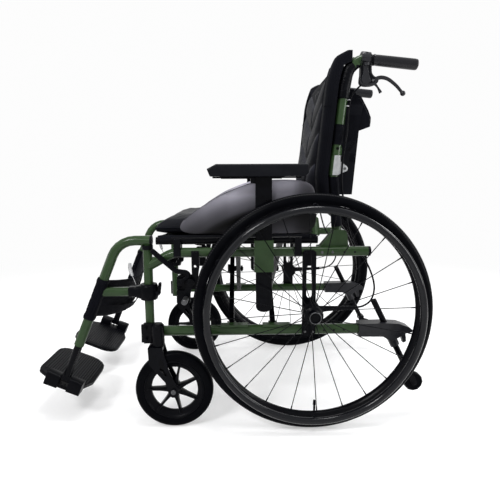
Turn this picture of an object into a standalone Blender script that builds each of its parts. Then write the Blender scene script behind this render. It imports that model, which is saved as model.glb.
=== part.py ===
"""Lightweight folding wheelchair with swing-away footrests, drum brakes and anti-tippers.

Metres, +Z up. The chair faces -X and its left side is at -Y. Every shape is drawn for the left side,
measured forward and back from the rear axle, and the right side is the same shape mirrored.
"""

import math

import bmesh
import bpy
from mathutils import Matrix, Vector

# Clearances
GAP = 0.0003
RUNNING = 0.0006

# Side frame
SIDE_Y = 0.2325
TUBE = 0.024
TUBE_CORNER = 0.0075
UPPER_Z = 0.449
LOWER_Z = 0.243
LOWER_TUBE = 0.025
UPPER_END_X = 0.154
POST_RADIUS = 0.0118
POST_TOP = 0.4585
POST_FOOT = 0.2165
UPPER_JOIN_Z = 0.414
COLLAR_HEIGHT = 0.0102
LUG_REAR_X = 0.100
LUG_FRONT_X = 0.020
LUG_TOP = 0.503
CANE_Y = 0.195
CANE_RADIUS = 0.0125
CANE_FOOT_X = 0.079
CANE_WAIST_X = 0.0625
CANE_WAIST_Z = 0.6425
BRACKET_WALL = 0.0022
SADDLE_REAR_X = -0.0330
SADDLE_LENGTH = 0.017

# Rear wheel
WHEEL_RADIUS = 0.300
WHEEL_Y = 0.288
TYRE_DEPTH = 0.0252
TYRE_WIDTH = 0.0246
RIM_DEPTH = 0.0172
RIM_WIDTH = 0.020
WHEEL_STEPS = 36
SPOKES = 24
SPOKE_RADIUS = 0.0013
FLANGE_RADIUS = 0.024
HUB_RADIUS = 0.0135
DRUM_RADIUS = 0.0225
DRUM_FACE = 0.2595
AXLE_END = 0.3165
HANDRIM_INSET = 0.0375
HANDRIM_TUBE = 0.0095
HANDRIM_STANDOFF = 0.039
HANDRIM_TABS = 6
AXLE_RADIUS = 0.006

# Axle plate
PLATE_WIDTH = 0.035
PLATE_X = -0.005
PLATE_THICKNESS = 0.006
PLATE_SLOT = 0.014

# Caster
CASTER_RADIUS = 0.100
CASTER_WIDTH = 0.030
CASTER_TO_TYRE = 0.00486
CASTER_TO_POST = 0.025
CASTER_Y = 0.264
CASTER_TRAIL = 0.039
CASTER_SPOKES = 7
CASTER_STEPS = 24
CASTER_RIM_RADIUS = 0.0775
CASTER_OPEN_RADIUS = 0.0594
CASTER_HUB_RADIUS = 0.0155
FORK_PLATE = 0.004
FORK_CROWN = 0.0117
FORK_CROWN_TOP = 0.2152
STEM_RADIUS = 0.006
HOUSING_RADIUS = 0.0165
HOUSING_TOP = 0.272

# Cross-brace
BRACE_PIVOT_INSET = 0.026
BRACE_PIVOT_Z = 0.249
RAIL_INSET = 0.014
RAIL_Z = 0.478
RAIL_RADIUS = 0.010
RAIL_BEHIND_POST = 0.020
RAIL_REAR_X = 0.020
LEG_XS = (-0.205, -0.095)
LEG_STAGGER = 0.019
LEG_DEPTH = 0.018
LEG_THICKNESS = 0.0135
PIN_RADIUS = 0.004
CENTRE_BOLT = 0.005
KNOB_RADIUS = 0.0135
KNOB_LOBES = 6

# Seat
SEAT_SAG = 0.012
SLING_THICKNESS = 0.004
CUSHION_HALF_WIDTH = 0.205
CUSHION_OVERHANG = 0.0165
CUSHION_REAR_X = 0.026
CUSHION_HEIGHT = 0.062
CUSHION_CROWN = 0.010

# Back
UPPER_CANE_LEAN_X = 0.0805
LEAN_BELOW_HANDLE = 0.1135
BRACKET_HEIGHT = 0.050
BACK_PIVOT_BEHIND = 0.0268
BACK_PIVOT_UP = 0.0164
BACK_EAR_RADIUS = 0.0078
BACK_PIN = 0.0032
KNUCKLE_HALF = 0.0080
RELEASE_PIN = 0.0022
RELEASE_HALF = 0.0042
CHEEK = 0.005
HANDLE_TOP_Z = 0.9315
HANDLE_BEND_X = 0.098
GRIP_START_X = 0.156
GRIP_END_X = 0.271
GRIP_DROP = 0.014
GRIP_RADIUS = 0.0165
BOOT_WALL = 0.003
BOOT_LENGTH = 0.080
BACK_HALF_WIDTH = 0.212
BACK_BOTTOM = 0.578
BACK_TOP = 0.948
PAD_HALF_WIDTH = 0.160
PAD_DEPTH = 0.031
PAD_TAPER = 0.66
PAD_BELOW_TOP = 0.040
WING_DEPTH = 0.024
CHEVRONS = 4
CHEVRON_SLOPE = 0.42
CHANNEL_DEPTH = 0.006
POCKET_CLEARANCE = 0.0085
POCKET_STANDOFF = 0.0440

# Armrest
ARM_POST_X = -0.1213
ARM_POST_WIDTH = 0.0405
ARM_POST_THICKNESS = 0.014
ARM_POST_Y = 0.2565
ARM_POST_FOOT = 0.2986
ARM_PAD_OVER_WHEEL = 0.040
ARM_PAD_HEIGHT = 0.0295
ARM_PAD_FRONT_X = -0.2585
ARM_PAD_REAR_X = -0.0147
ARM_PAD_Y = 0.266
ARM_PAD_WIDTH = 0.050
SOCKET_LOW = 0.403
SOCKET_TOP = 0.483
SOCKET_WALL = 0.0055
GUARD_THICKNESS = 0.006
GUARD_LOW = 0.498
GUARD_BELOW_PAD = 0.0080
GUARD_HEIGHT = 0.134

# Wheel lock
LOCK_AHEAD_OF_WHEEL = 0.031
LOCK_PIVOT_DROP = 0.072
SHOE_PIN_RADIUS = 0.0081
LOCK_PLATE = 0.004
LOCK_PIN = 0.003
LOCK_LAYER = (0.0003, 0.0083)
SHOE_LAYER = (0.0088, 0.0142)

# Footrest
HANGER_TUBE = 0.024
HANGER_PIN = 0.0075
HANGER_TOP_Z = 0.481
HANGER_REACH = 0.187
HANGER_END_Z = 0.207
HANGER_LEAN_DEG = 22.65
HANGER_BEND = 0.075
CROSS_TUBE_Z = 0.349
CROSS_TUBE = 0.022
CROSS_CORNER = 0.006
EXTENSION_RADIUS = 0.0105
EXTENSION_SHOWN = 0.112
EXTENSION_HELD = 0.090
FOOT_HINGE_Y = 0.2375
FOOT_HINGE_UP = 0.016
KNUCKLE_RADIUS = 0.009
KNUCKLE_LENGTH = 0.0232
FOOT_LENGTH_FRONT = 0.083
FOOT_LENGTH_REAR = 0.062
FOOT_INNER_Y = 0.041
FOOT_THICKNESS = 0.010
FOOT_DROP = 0.0165
FOOT_BLOCK = 0.048
FOOT_BLOCK_TOP = 0.0080

# Anti-tipper
TIP_WHEEL = (0.2793, 0.0953)
TIP_WHEEL_RADIUS = 0.0255
TIP_WHEEL_WIDTH = 0.022
TIP_ARM_TOP = (0.1664, 0.3195)
TIP_ARM_RADIUS = 0.0078
STEP_FRONT_X = 0.127
STEP_TIP = (0.2686, 0.2410)

# Brake controls
PERCH_X = 0.137
PERCH_PIN = 0.0025
BRAKE_PIVOT_AHEAD = 0.0193
BRAKE_PIVOT_DROP = 0.0539
BRAKE_REACH = 0.0797
CABLE_RADIUS = 0.0024

# Brake cable route: behind the axle, height, distance outward
CABLE_POINTS = (
    (0.1300, 0.8685, 0.195),
    (0.1170, 0.8560, 0.195),
    (0.1035, 0.8360, 0.195),
    (0.0985, 0.8050, 0.196),
    (0.0945, 0.7600, 0.205),
    (0.0870, 0.7150, 0.2135),
    (0.0810, 0.6700, 0.2150),
    (0.0820, 0.6100, 0.2120),
    (0.0960, 0.5500, 0.2020),
    (0.1060, 0.5000, 0.1990),
    (0.1220, 0.4560, 0.2060),
    (0.1450, 0.4260, 0.2130),
    (0.1620, 0.3880, 0.2230),
    (0.1670, 0.3530, 0.2360),
    (0.1560, 0.3250, 0.2490),
    (0.1350, 0.3110, 0.2560),
    (0.1127, 0.3065, 0.2571),
)

COLOURS = {
    "frame_green": ((0.042, 0.085, 0.034), 0.38, 0.25),
    "black_metal": ((0.010, 0.011, 0.014), 0.40, 0.35),
    "black_plastic": ((0.012, 0.013, 0.017), 0.55, 0.0),
    "tyre_rubber": ((0.014, 0.014, 0.015), 0.75, 0.0),
    "gloss_black": ((0.008, 0.008, 0.010), 0.18, 0.30),
    "silver_cast": ((0.50, 0.51, 0.52), 0.38, 0.85),
    "black_fabric": ((0.012, 0.013, 0.019), 0.85, 0.0),
    "pad_charcoal": ((0.040, 0.040, 0.047), 0.62, 0.0),
    "guard_grey": ((0.075, 0.073, 0.085), 0.33, 0.0),
    "grip_rubber": ((0.018, 0.018, 0.022), 0.60, 0.0),
}

# Derived places
BRACE_PIVOT_Y = SIDE_Y - BRACE_PIVOT_INSET
RAIL_Y = SIDE_Y - RAIL_INSET
HANDRIM_RADIUS = WHEEL_RADIUS - HANDRIM_INSET
WHEEL_SPACING = WHEEL_RADIUS + CASTER_RADIUS + CASTER_TO_TYRE
CASTER_X = -math.sqrt(WHEEL_SPACING**2 - (WHEEL_RADIUS - CASTER_RADIUS) ** 2)
STEM_X = CASTER_X - CASTER_TRAIL
POST_X = STEM_X - CASTER_TO_POST
RAIL_FRONT_X = POST_X + RAIL_BEHIND_POST
CUSHION_FRONT_X = RAIL_FRONT_X - CUSHION_OVERHANG
LOCK_X = -WHEEL_RADIUS - LOCK_AHEAD_OF_WHEEL
LOCK_Z = UPPER_Z - LOCK_PIVOT_DROP
LOCK_PIVOT = (LOCK_X, LOCK_Z)
SHOE_PIVOT = (LOCK_X + 0.025, LOCK_Z)
SHOE_PIN = (LOCK_X + 0.013, LOCK_Z - 0.041)
LOCK_ELBOW = (LOCK_X + 0.013, LOCK_Z + 0.023)
LOCK_GRIP = (LOCK_X - 0.068, LOCK_Z + 0.079)
SADDLE_XS = (LOCK_X - 0.0085, SADDLE_REAR_X)
UPPER_BEND_X = POST_X + 0.064
HANGER_END = (POST_X - HANGER_REACH, HANGER_END_Z)
HANGER_REAR_X = POST_X + 0.0125
HANGER_BORE = EXTENSION_RADIUS + GAP
RIM_OUTER = WHEEL_RADIUS - TYRE_DEPTH - GAP
RIM_INNER = RIM_OUTER - RIM_DEPTH
LEG_ANGLE = math.atan2(RAIL_Z - BRACE_PIVOT_Z, RAIL_Y + BRACE_PIVOT_Y)
BRACE_CENTRE_Z = BRACE_PIVOT_Z + BRACE_PIVOT_Y * math.tan(LEG_ANGLE)
OUTER_FACE = SIDE_Y + TUBE / 2
INNER_FACE = SIDE_Y - TUBE / 2
HANGER_LEAN = math.radians(HANGER_LEAN_DEG)
HANGER_DOWN = Vector((-math.sin(HANGER_LEAN), 0, -math.cos(HANGER_LEAN)))
FOOT_FORWARD = Vector((HANGER_DOWN.z, 0, -HANGER_DOWN.x))
TIP_DOWN = Vector((TIP_WHEEL[0] - TIP_ARM_TOP[0], 0, TIP_WHEEL[1] - TIP_ARM_TOP[1])).normalized()
TUBE_END = Vector((HANGER_END[0], -SIDE_Y, HANGER_END[1])) + HANGER_DOWN * EXTENSION_SHOWN
FOOT_PIVOT = Vector((TUBE_END.x, -FOOT_HINGE_Y, TUBE_END.z)) - HANGER_DOWN * FOOT_HINGE_UP
FRONT_X = FOOT_PIVOT.x + FOOT_FORWARD.x * FOOT_LENGTH_FRONT + HANGER_DOWN.x * (FOOT_DROP + FOOT_THICKNESS)
REAR_X = TIP_WHEEL[0] + TIP_WHEEL_RADIUS
CENTRE_X = (FRONT_X + REAR_X) / 2
BRACKET_TOP = CANE_WAIST_Z + BRACKET_HEIGHT
BACK_PIVOT_X = CANE_WAIST_X + BACK_PIVOT_BEHIND
BACK_PIVOT_Z = CANE_WAIST_Z + BACK_PIVOT_UP
RELEASE_PIVOT = (BACK_PIVOT_X + 0.0082, BRACKET_TOP + 0.0075)
UPPER_CANE_LEAN_Z = HANDLE_TOP_Z - LEAN_BELOW_HANDLE
GRIP_END_Z = HANDLE_TOP_Z - GRIP_DROP
PAD_TOP = BACK_TOP - PAD_BELOW_TOP
POCKET_HALF_WIDTH = CANE_Y - CANE_RADIUS - POCKET_CLEARANCE
ARM_PAD_Z = 2 * WHEEL_RADIUS + ARM_PAD_OVER_WHEEL
SLING_HALF_WIDTH = RAIL_Y + RAIL_RADIUS * 0.8
SLING_SHARES = (-1, -0.93, -0.78, -0.6, -0.3, 0, 0.3, 0.6, 0.78, 0.93, 1)
BRAKE_PIVOT = (PERCH_X + BRAKE_PIVOT_AHEAD, HANDLE_TOP_Z - BRAKE_PIVOT_DROP)
BRAKE_TIP = (BRAKE_PIVOT[0] + BRAKE_REACH, BRAKE_PIVOT[1] - 0.0301)
HANGER_RELEASE_X = POST_X + 0.0265
RELEASE_Y = SIDE_Y + 0.006
RELEASE_Z = CROSS_TUBE_Z - 0.004


def new_mesh(bm):
    """Turn a bmesh into mesh data with its faces pointing out."""
    bmesh.ops.recalc_face_normals(bm, faces=bm.faces)
    mesh = bpy.data.meshes.new("shape")
    bm.to_mesh(mesh)
    bm.free()
    return mesh


def join_rings(bm, rings, closed=False, capped=True):
    """Faces between neighbouring rings of vertices. A ring of one vertex is a pole."""
    pairs = list(zip(rings, rings[1:]))
    if closed:
        pairs.append((rings[-1], rings[0]))
    for first, second in pairs:
        count = max(len(first), len(second))
        for i in range(count):
            j = (i + 1) % count
            if len(first) == 1:
                bm.faces.new((first[0], second[j], second[i]))
            elif len(second) == 1:
                bm.faces.new((first[i], first[j], second[0]))
            else:
                bm.faces.new((first[i], first[j], second[j], second[i]))
    if capped and not closed:
        for ring in (rings[0], rings[-1]):
            if len(ring) > 2:
                bm.faces.new(ring)


def axis_frame(axis):
    """Two unit vectors square to an axis."""
    along = Vector(axis).normalized()
    helper = Vector((0, 0, 1)) if abs(along.z) < 0.9 else Vector((1, 0, 0))
    across = along.cross(helper).normalized()
    return along, across, across.cross(along)


def turned(profile, centre, axis, steps=16, turn=0.0):
    """A profile of (radius, height) points spun about an axis, closed unless it ends on the axis."""
    along, across, up = axis_frame(axis)
    bm = bmesh.new()
    rings = []
    for radius, height in profile:
        base = Vector(centre) + along * height
        if radius < 1e-7:
            rings.append([bm.verts.new(base)])
            continue
        ring = []
        for i in range(steps):
            angle = turn + math.tau * i / steps
            ring.append(bm.verts.new(base + (across * math.cos(angle) + up * math.sin(angle)) * radius))
        rings.append(ring)
    open_ended = len(rings[0]) == 1 and len(rings[-1]) == 1
    join_rings(bm, rings, closed=not open_ended, capped=False)
    return new_mesh(bm)


def rod(start, end, radius, steps=10, far_radius=None):
    """A round bar, tapered when its far radius is given."""
    start, end = Vector(start), Vector(end)
    length = (end - start).length
    far_radius = radius if far_radius is None else far_radius
    profile = ((0, 0), (radius, 0), (far_radius, length), (0, length))
    return turned(profile, start, end - start, steps)


def bore_size(pin, steps=8):
    """The radius that a many-sided bore needs for its flats to clear a pin."""
    return (pin + GAP) / math.cos(math.pi / steps)


def leaning_rod(start, end, radius, facing, steps=10, far_radius=None):
    """A bar that runs aslant between two end faces which both look along one direction."""
    across, up = axis_frame(facing)[1:]
    bm = bmesh.new()
    rings = []
    for point, size in ((start, radius), (end, radius if far_radius is None else far_radius)):
        ring = []
        for i in range(steps):
            angle = math.tau * i / steps
            ring.append(bm.verts.new(Vector(point) + (across * math.cos(angle) + up * math.sin(angle)) * size))
        rings.append(ring)
    join_rings(bm, rings)
    return new_mesh(bm)


def prism(outline, low, high, plane="XZ"):
    """An outline drawn in one plane and extruded square to it from low to high."""
    places = {
        "XZ": lambda u, v, w: (u, w, v),
        "YZ": lambda u, v, w: (w, u, v),
        "XY": lambda u, v, w: (u, v, w),
    }
    place = places[plane]
    bm = bmesh.new()
    face = bm.faces.new([bm.verts.new(place(u, v, low)) for u, v in outline])
    shift = Vector(place(0, 0, high - low))
    grown = bmesh.ops.extrude_face_region(bm, geom=[face])
    moved = [item for item in grown["geom"] if isinstance(item, bmesh.types.BMVert)]
    bmesh.ops.translate(bm, verts=moved, vec=shift)
    return new_mesh(bm)


def block(low, high):
    """A box between two corners."""
    outline = ((low[0], low[1]), (high[0], low[1]), (high[0], high[1]), (low[0], high[1]))
    return prism(outline, low[2], high[2], "XY")


def arc(centre, radius, start_deg, end_deg, steps):
    """Points along an arc, both ends included."""
    points = []
    for i in range(steps + 1):
        angle = math.radians(start_deg + (end_deg - start_deg) * i / steps)
        points.append((centre[0] + radius * math.cos(angle), centre[1] + radius * math.sin(angle)))
    return points


def capsule(first, second, first_radius, second_radius, steps=6):
    """The outline of a plate with round ends of two radii."""
    heading = math.degrees(math.atan2(second[1] - first[1], second[0] - first[0]))
    distance = math.dist(first, second)
    lean = math.degrees(math.asin((first_radius - second_radius) / distance))
    near = arc(first, first_radius, heading + 90 - lean, heading + 270 + lean, steps)
    far = arc(second, second_radius, heading - 90 + lean, heading + 90 - lean, steps)
    return near + far


def rounded_square(half, corner, steps=1):
    """A square tube's section with rounded corners."""
    inset = half - corner
    points = []
    for index, (u, v) in enumerate(((1, 1), (-1, 1), (-1, -1), (1, -1))):
        points += arc((u * inset, v * inset), corner, index * 90, index * 90 + 90, steps)
    return points


def round_section(radius, steps=10):
    """A round tube's section."""
    angles = [math.tau * i / steps for i in range(steps)]
    return [(radius * math.cos(angle), radius * math.sin(angle)) for angle in angles]


def bent(points, radius, steps=4):
    """A route of straight runs with its corners turned into arcs."""
    points = [Vector(point) for point in points]
    route = [points[0]]
    for before, corner, after in zip(points, points[1:], points[2:]):
        back = (before - corner).normalized()
        ahead = (after - corner).normalized()
        half = back.angle(ahead) / 2
        cut = min(radius / math.tan(half), 0.49 * (before - corner).length, 0.49 * (after - corner).length)
        size = cut * math.tan(half)
        centre = corner + (back + ahead).normalized() * (size / math.sin(half))
        first = corner + back * cut - centre
        last = corner + ahead * cut - centre
        sweep_angle = first.angle(last)
        for i in range(steps + 1):
            share = i / steps
            near = math.sin((1 - share) * sweep_angle) / math.sin(sweep_angle)
            far = math.sin(share * sweep_angle) / math.sin(sweep_angle)
            route.append(centre + first * near + last * far)
    route.append(points[-1])
    return route


def swept(route, section, level_start=False):
    """A section carried along a route that lies in a plane y = constant, its first face level when asked."""
    bm = bmesh.new()
    across = Vector((0, 1, 0))
    route = [Vector(point) for point in route]
    rings = []
    for i, point in enumerate(route):
        before = (point - route[i - 1]).normalized() if i else (route[1] - point).normalized()
        after = (route[i + 1] - point).normalized() if i < len(route) - 1 else before
        heading = (before + after).normalized()
        stretch = 1 / max(0.5, heading.dot(after))
        up = heading.cross(across).normalized() * stretch
        ring = [point + across * u + up * v for u, v in section]
        if level_start and i == 0:
            ring = [place + heading * ((point.z - place.z) / heading.z) for place in ring]
        rings.append([bm.verts.new(place) for place in ring])
    join_rings(bm, rings)
    return new_mesh(bm)


def smooth_curve(points, per_span):
    """A Catmull-Rom curve through points, read at even shares of each span."""
    points = [Vector(point) for point in points]
    padded = [points[0] * 2 - points[1]] + points + [points[-1] * 2 - points[-2]]
    out = []
    for i in range(len(points) - 1):
        a, b, c, d = padded[i : i + 4]
        for step in range(per_span):
            t = step / per_span
            bend = 2 * a - 5 * b + 4 * c - d
            twist = 3 * b - a - 3 * c + d
            out.append(0.5 * ((2 * b) + (c - a) * t + bend * t * t + twist * t**3))
    out.append(points[-1])
    return out


def material(name):
    """The named finish, made once."""
    found = bpy.data.materials.get(name)
    if found:
        return found
    colour, roughness, metallic = COLOURS[name]
    made = bpy.data.materials.new(name)
    made.use_nodes = True
    shader = made.node_tree.nodes["Principled BSDF"]
    shader.inputs["Base Color"].default_value = (*colour, 1.0)
    shader.inputs["Roughness"].default_value = roughness
    shader.inputs["Metallic"].default_value = metallic
    made.diffuse_color = (*colour, 1.0)
    return made


def combine(pieces, cuts=()):
    """One closed mesh from overlapping pieces, less the cuts."""
    if len(pieces) == 1 and not cuts:
        return pieces[0]
    helpers = []
    groups = []
    for label, meshes in (("joined", pieces[1:]), ("cut", cuts)):
        group = bpy.data.collections.new(label)
        for mesh in meshes:
            helper = bpy.data.objects.new(label, mesh)
            group.objects.link(helper)
            helpers.append(helper)
        groups.append(group)
    base = bpy.data.objects.new("base", pieces[0])
    bpy.context.scene.collection.objects.link(base)
    for group, operation in zip(groups, ("UNION", "DIFFERENCE")):
        if len(group.objects):
            boolean = base.modifiers.new(operation.lower(), "BOOLEAN")
            boolean.operation = operation
            boolean.operand_type = "COLLECTION"
            boolean.collection = group
            boolean.solver = "EXACT"
    graph = bpy.context.evaluated_depsgraph_get()
    result = bpy.data.meshes.new_from_object(base.evaluated_get(graph))
    for helper in helpers + [base]:
        bpy.data.objects.remove(helper)
    for group in groups:
        bpy.data.collections.remove(group)
    return result


BODIES = {}


def body(name, pivot, parent=None):
    """An empty on a body's joint axis, which its pieces and the bodies that it carries hang from."""
    empty = bpy.data.objects.new(f"{name}_joint", None)
    empty.empty_display_size = 0.03
    bpy.context.scene.collection.objects.link(empty)
    pivot = Vector(pivot)
    BODIES[name] = (empty, pivot)
    if parent:
        above, place = BODIES[parent]
        empty.parent = above
        empty.location = pivot - place
    else:
        empty.location = pivot
    return empty


def finish(name, mesh, carrier, finish_name, mirrored=False):
    """A named object from mesh data drawn in chair coordinates, hung from its body."""
    if mirrored:
        mesh.transform(Matrix.Diagonal((1, -1, 1, 1)))
        mesh.flip_normals()
    empty, pivot = BODIES[carrier]
    mesh.transform(Matrix.Translation(-pivot))
    mesh.name = name
    mesh.materials.clear()
    mesh.materials.append(material(finish_name))
    mesh.shade_smooth()
    mesh.set_sharp_from_angle(angle=math.radians(32))
    made = bpy.data.objects.new(name, mesh)
    bpy.context.scene.collection.objects.link(made)
    made.parent = empty
    return made


def both_sides(label, carrier, finish_name, build):
    """The left piece and its mirror image."""
    for side in ("left", "right"):
        finish(f"{side}_{label}", build(), f"{side}_{carrier}", finish_name, mirrored=side == "right")


def at(x, z, y=SIDE_Y):
    """A point of the left side, from its distance outward."""
    return Vector((x, -y, z))


def side_frame(leg_xs):
    """Side tubes, front post, back lug and lower back cane, armrest socket, saddles and brace lugs."""
    square = rounded_square(TUBE / 2, TUBE_CORNER)
    low_square = rounded_square(LOWER_TUBE / 2, TUBE_CORNER)
    lower_end = at(STEP_FRONT_X + 0.030, LOWER_Z)
    upper = bent((at(POST_X, UPPER_JOIN_Z), at(UPPER_BEND_X, UPPER_Z), at(UPPER_END_X, UPPER_Z)), 0.05, 2)
    pieces = [
        swept(upper, square),
        swept((at(POST_X, LOWER_Z), lower_end), low_square),
        rod(at(POST_X, POST_FOOT), at(POST_X, POST_TOP + COLLAR_HEIGHT), POST_RADIUS, 12),
        rod(at(POST_X, POST_TOP), at(POST_X, POST_TOP + COLLAR_HEIGHT), POST_RADIUS + 0.0025, 12),
    ]
    lug_outline = [
        (LUG_FRONT_X, UPPER_Z - TUBE / 2),
        (LUG_REAR_X, UPPER_Z - TUBE / 2),
        (LUG_REAR_X, UPPER_Z + 0.012),
        (LUG_REAR_X - 0.0045, LUG_TOP - 0.006),
        (LUG_REAR_X - 0.011, LUG_TOP),
        (LUG_REAR_X - 0.038, LUG_TOP),
        (LUG_FRONT_X + 0.008, UPPER_Z + 0.013),
        (LUG_FRONT_X, UPPER_Z + 0.012),
    ]
    pieces.append(prism(lug_outline, -INNER_FACE - 0.003, -CANE_Y - 0.002))
    cane_foot = at(CANE_FOOT_X, UPPER_Z - 0.008, CANE_Y)
    cane_waist = at(CANE_WAIST_X, CANE_WAIST_Z, CANE_Y)
    upward = (0, 0, 1)
    pieces.append(leaning_rod(cane_foot, cane_foot.lerp(cane_waist, 0.30), CANE_RADIUS + 0.004, upward))
    pieces.append(leaning_rod(cane_foot, cane_waist, CANE_RADIUS, upward))
    pieces.append(armrest_socket())
    for x in SADDLE_XS:
        pieces.append(saddle(x))
    for x in leg_xs:
        pieces += brace_lugs(x)
    for x in LEG_XS:
        low = (x - 0.028, -OUTER_FACE, LOWER_Z + 0.010)
        pieces.append(block(low, (x + 0.044, -INNER_FACE + 0.001, LOWER_Z + 0.0155)))
    cuts = [
        rod(at(POST_X, POST_TOP - 0.045), at(POST_X, POST_TOP + 0.02), HANGER_PIN + GAP, 12),
        arm_post_shape(RUNNING / 2, SOCKET_LOW - 0.01, SOCKET_TOP + 0.01),
    ]
    return combine(pieces, cuts)


def armrest_socket():
    """The rectangular sleeve that holds the armrest post, welded to the side tube."""
    half = ARM_POST_WIDTH / 2 + SOCKET_WALL - 0.0015
    outer = ARM_POST_Y + ARM_POST_THICKNESS / 2 + SOCKET_WALL
    return block(
        (ARM_POST_X - half, -outer, SOCKET_LOW),
        (ARM_POST_X + half, -OUTER_FACE + 0.004, SOCKET_TOP),
    )


def arm_post_shape(grow, low, high):
    """The armrest post's section between two heights, grown for its socket."""
    half = ARM_POST_WIDTH / 2 + grow
    depth = ARM_POST_THICKNESS / 2 + grow
    near = (ARM_POST_X - half, -ARM_POST_Y - depth, low)
    far = (ARM_POST_X + half, -ARM_POST_Y + depth, high)
    return block(near, far)


def saddle(x):
    """A cradle over the side tube that the seat rail rests in, open above."""
    outer = OUTER_FACE + 0.002
    inner = RAIL_Y - RAIL_RADIUS - 0.003
    low = UPPER_Z - TUBE / 2 + 0.005
    rim = (RAIL_RADIUS + GAP) / math.cos(math.radians(22.5))
    cradle = []
    for degrees in range(0, 181, 45):
        angle = math.radians(degrees)
        cradle.append((-RAIL_Y - rim * math.cos(angle), RAIL_Z - rim * math.sin(angle)))
    outline = [(-outer, low), (-outer, RAIL_Z + 0.006), (-RAIL_Y - rim, RAIL_Z + 0.006)]
    outline += cradle
    outline += [(-inner, RAIL_Z), (-inner, UPPER_Z + 0.004)]
    outline += [(-INNER_FACE - 0.003, UPPER_Z), (-INNER_FACE - 0.003, low)]
    return prism(outline, x - SADDLE_LENGTH / 2, x + SADDLE_LENGTH / 2, "YZ")


def brace_lugs(x):
    """Two lugs on the lower tube with the pin that one leg of the cross-brace turns on."""
    gap = LEG_THICKNESS / 2 + RUNNING
    outline = [(-INNER_FACE - 0.003, LOWER_Z - 0.006), (-INNER_FACE - 0.003, LOWER_Z + 0.012)]
    outline += arc((-BRACE_PIVOT_Y, BRACE_PIVOT_Z), 0.0095, 75, -75, 3)
    lugs = [prism(outline, *sorted((x + side * gap, x + side * (gap + 0.004))), "YZ") for side in (-1, 1)]
    reach = gap + 0.002
    near = (x - reach, -BRACE_PIVOT_Y, BRACE_PIVOT_Z)
    far = (x + reach, -BRACE_PIVOT_Y, BRACE_PIVOT_Z)
    pin = rod(near, far, PIN_RADIUS, 8)
    return lugs + [pin]


def axle_plate():
    """The slotted plate across both side tubes, with its axle, the brake's backing plate and cable anchor."""
    inner = OUTER_FACE + GAP * 2
    outer = inner + PLATE_THICKNESS
    half = PLATE_WIDTH / 2
    low, high = LOWER_Z - LOWER_TUBE / 2 + 0.001, UPPER_Z + 0.006
    corner = 0.006
    outline = []
    for u, v, start in ((1, 1, 0), (-1, 1, 90), (-1, -1, 180), (1, -1, 270)):
        centre = (PLATE_X + u * (half - corner), (high if v > 0 else low) - v * corner)
        outline += arc(centre, corner, start, start + 90, 1)
    axle_z = WHEEL_RADIUS
    pieces = [prism(outline, -outer, -inner)]
    for z in (UPPER_Z - 0.001, LOWER_Z):
        for x in (PLATE_X - 0.010, PLATE_X + 0.010):
            pieces.append(rod(at(x, z, outer - 0.001), at(x, z, outer + 0.0035), 0.0048, 6))
    brake_face = DRUM_FACE - RUNNING
    pieces.append(rod(at(0, axle_z, outer - 0.001), at(0, axle_z, brake_face), 0.014, 12))
    pieces.append(rod(at(0, axle_z, brake_face - 0.0035), at(0, axle_z, brake_face), DRUM_RADIUS + 0.002, 14))
    pieces.append(rod(at(0, axle_z, outer), at(0, axle_z, AXLE_END), AXLE_RADIUS, 10))
    anchor = prism(
        ((0.020, axle_z - 0.004), (0.106, axle_z + 0.003), (0.106, axle_z + 0.010), (0.020, axle_z + 0.012)),
        -brake_face,
        -brake_face + 0.0035,
    )
    stop_y = brake_face - 0.0018
    pieces += [anchor, rod(at(0.098, axle_z + 0.0065, stop_y), at(0.112, axle_z + 0.0065, stop_y), 0.0042, 8)]
    slot_low, slot_high = axle_z + 0.037, UPPER_Z - 0.040
    slot = capsule((PLATE_X, slot_high), (PLATE_X, slot_low), PLATE_SLOT / 2, PLATE_SLOT / 2, 3)
    return combine(pieces, [prism(slot, -outer - 0.01, -inner + 0.01)])


def rear_wheel():
    """Rim, laced spokes and hub with its brake drum."""
    half = RIM_WIDTH / 2
    rim = (
        (RIM_INNER, 0),
        (RIM_INNER + 0.0065, half),
        (RIM_OUTER, half),
        (RIM_OUTER, -half),
        (RIM_INNER + 0.0065, -half),
    )
    centre = at(0, WHEEL_RADIUS, WHEEL_Y)
    bore = AXLE_RADIUS + GAP
    hub = (
        (0, AXLE_END + 0.0015),
        (bore, AXLE_END + 0.0015),
        (bore, DRUM_FACE),
        (DRUM_RADIUS, DRUM_FACE),
        (DRUM_RADIUS, DRUM_FACE + 0.0065),
        (FLANGE_RADIUS, DRUM_FACE + 0.0135),
        (HUB_RADIUS, DRUM_FACE + 0.0170),
        (HUB_RADIUS, AXLE_END - 0.0190),
        (FLANGE_RADIUS, AXLE_END - 0.0160),
        (FLANGE_RADIUS, AXLE_END - 0.0120),
        (0.0185, AXLE_END - 0.0085),
        (0.0170, AXLE_END + 0.0065),
        (0, AXLE_END + 0.0080),
    )
    pieces = [
        turned(rim, centre, (0, -1, 0), WHEEL_STEPS, math.pi / 2),
        turned(hub, at(0, WHEEL_RADIUS, 0), (0, -1, 0), 12),
    ]
    flanges = (DRUM_FACE + 0.012, AXLE_END - 0.014)
    for i in range(SPOKES):
        angle = math.tau * i / SPOKES + 0.05
        lead = math.radians(8) * (1 if i % 4 < 2 else -1)
        flange = flanges[i % 2]
        start = at(
            (FLANGE_RADIUS - 0.003) * math.cos(angle + lead),
            WHEEL_RADIUS + (FLANGE_RADIUS - 0.003) * math.sin(angle + lead),
            flange,
        )
        reach = RIM_INNER + 0.003
        seat_y = WHEEL_Y + (i % 2 - 0.5) * 0.004
        end = at(reach * math.cos(angle), WHEEL_RADIUS + reach * math.sin(angle), seat_y)
        pieces.append(rod(start, end, SPOKE_RADIUS, 3))
    return combine(pieces)


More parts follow.
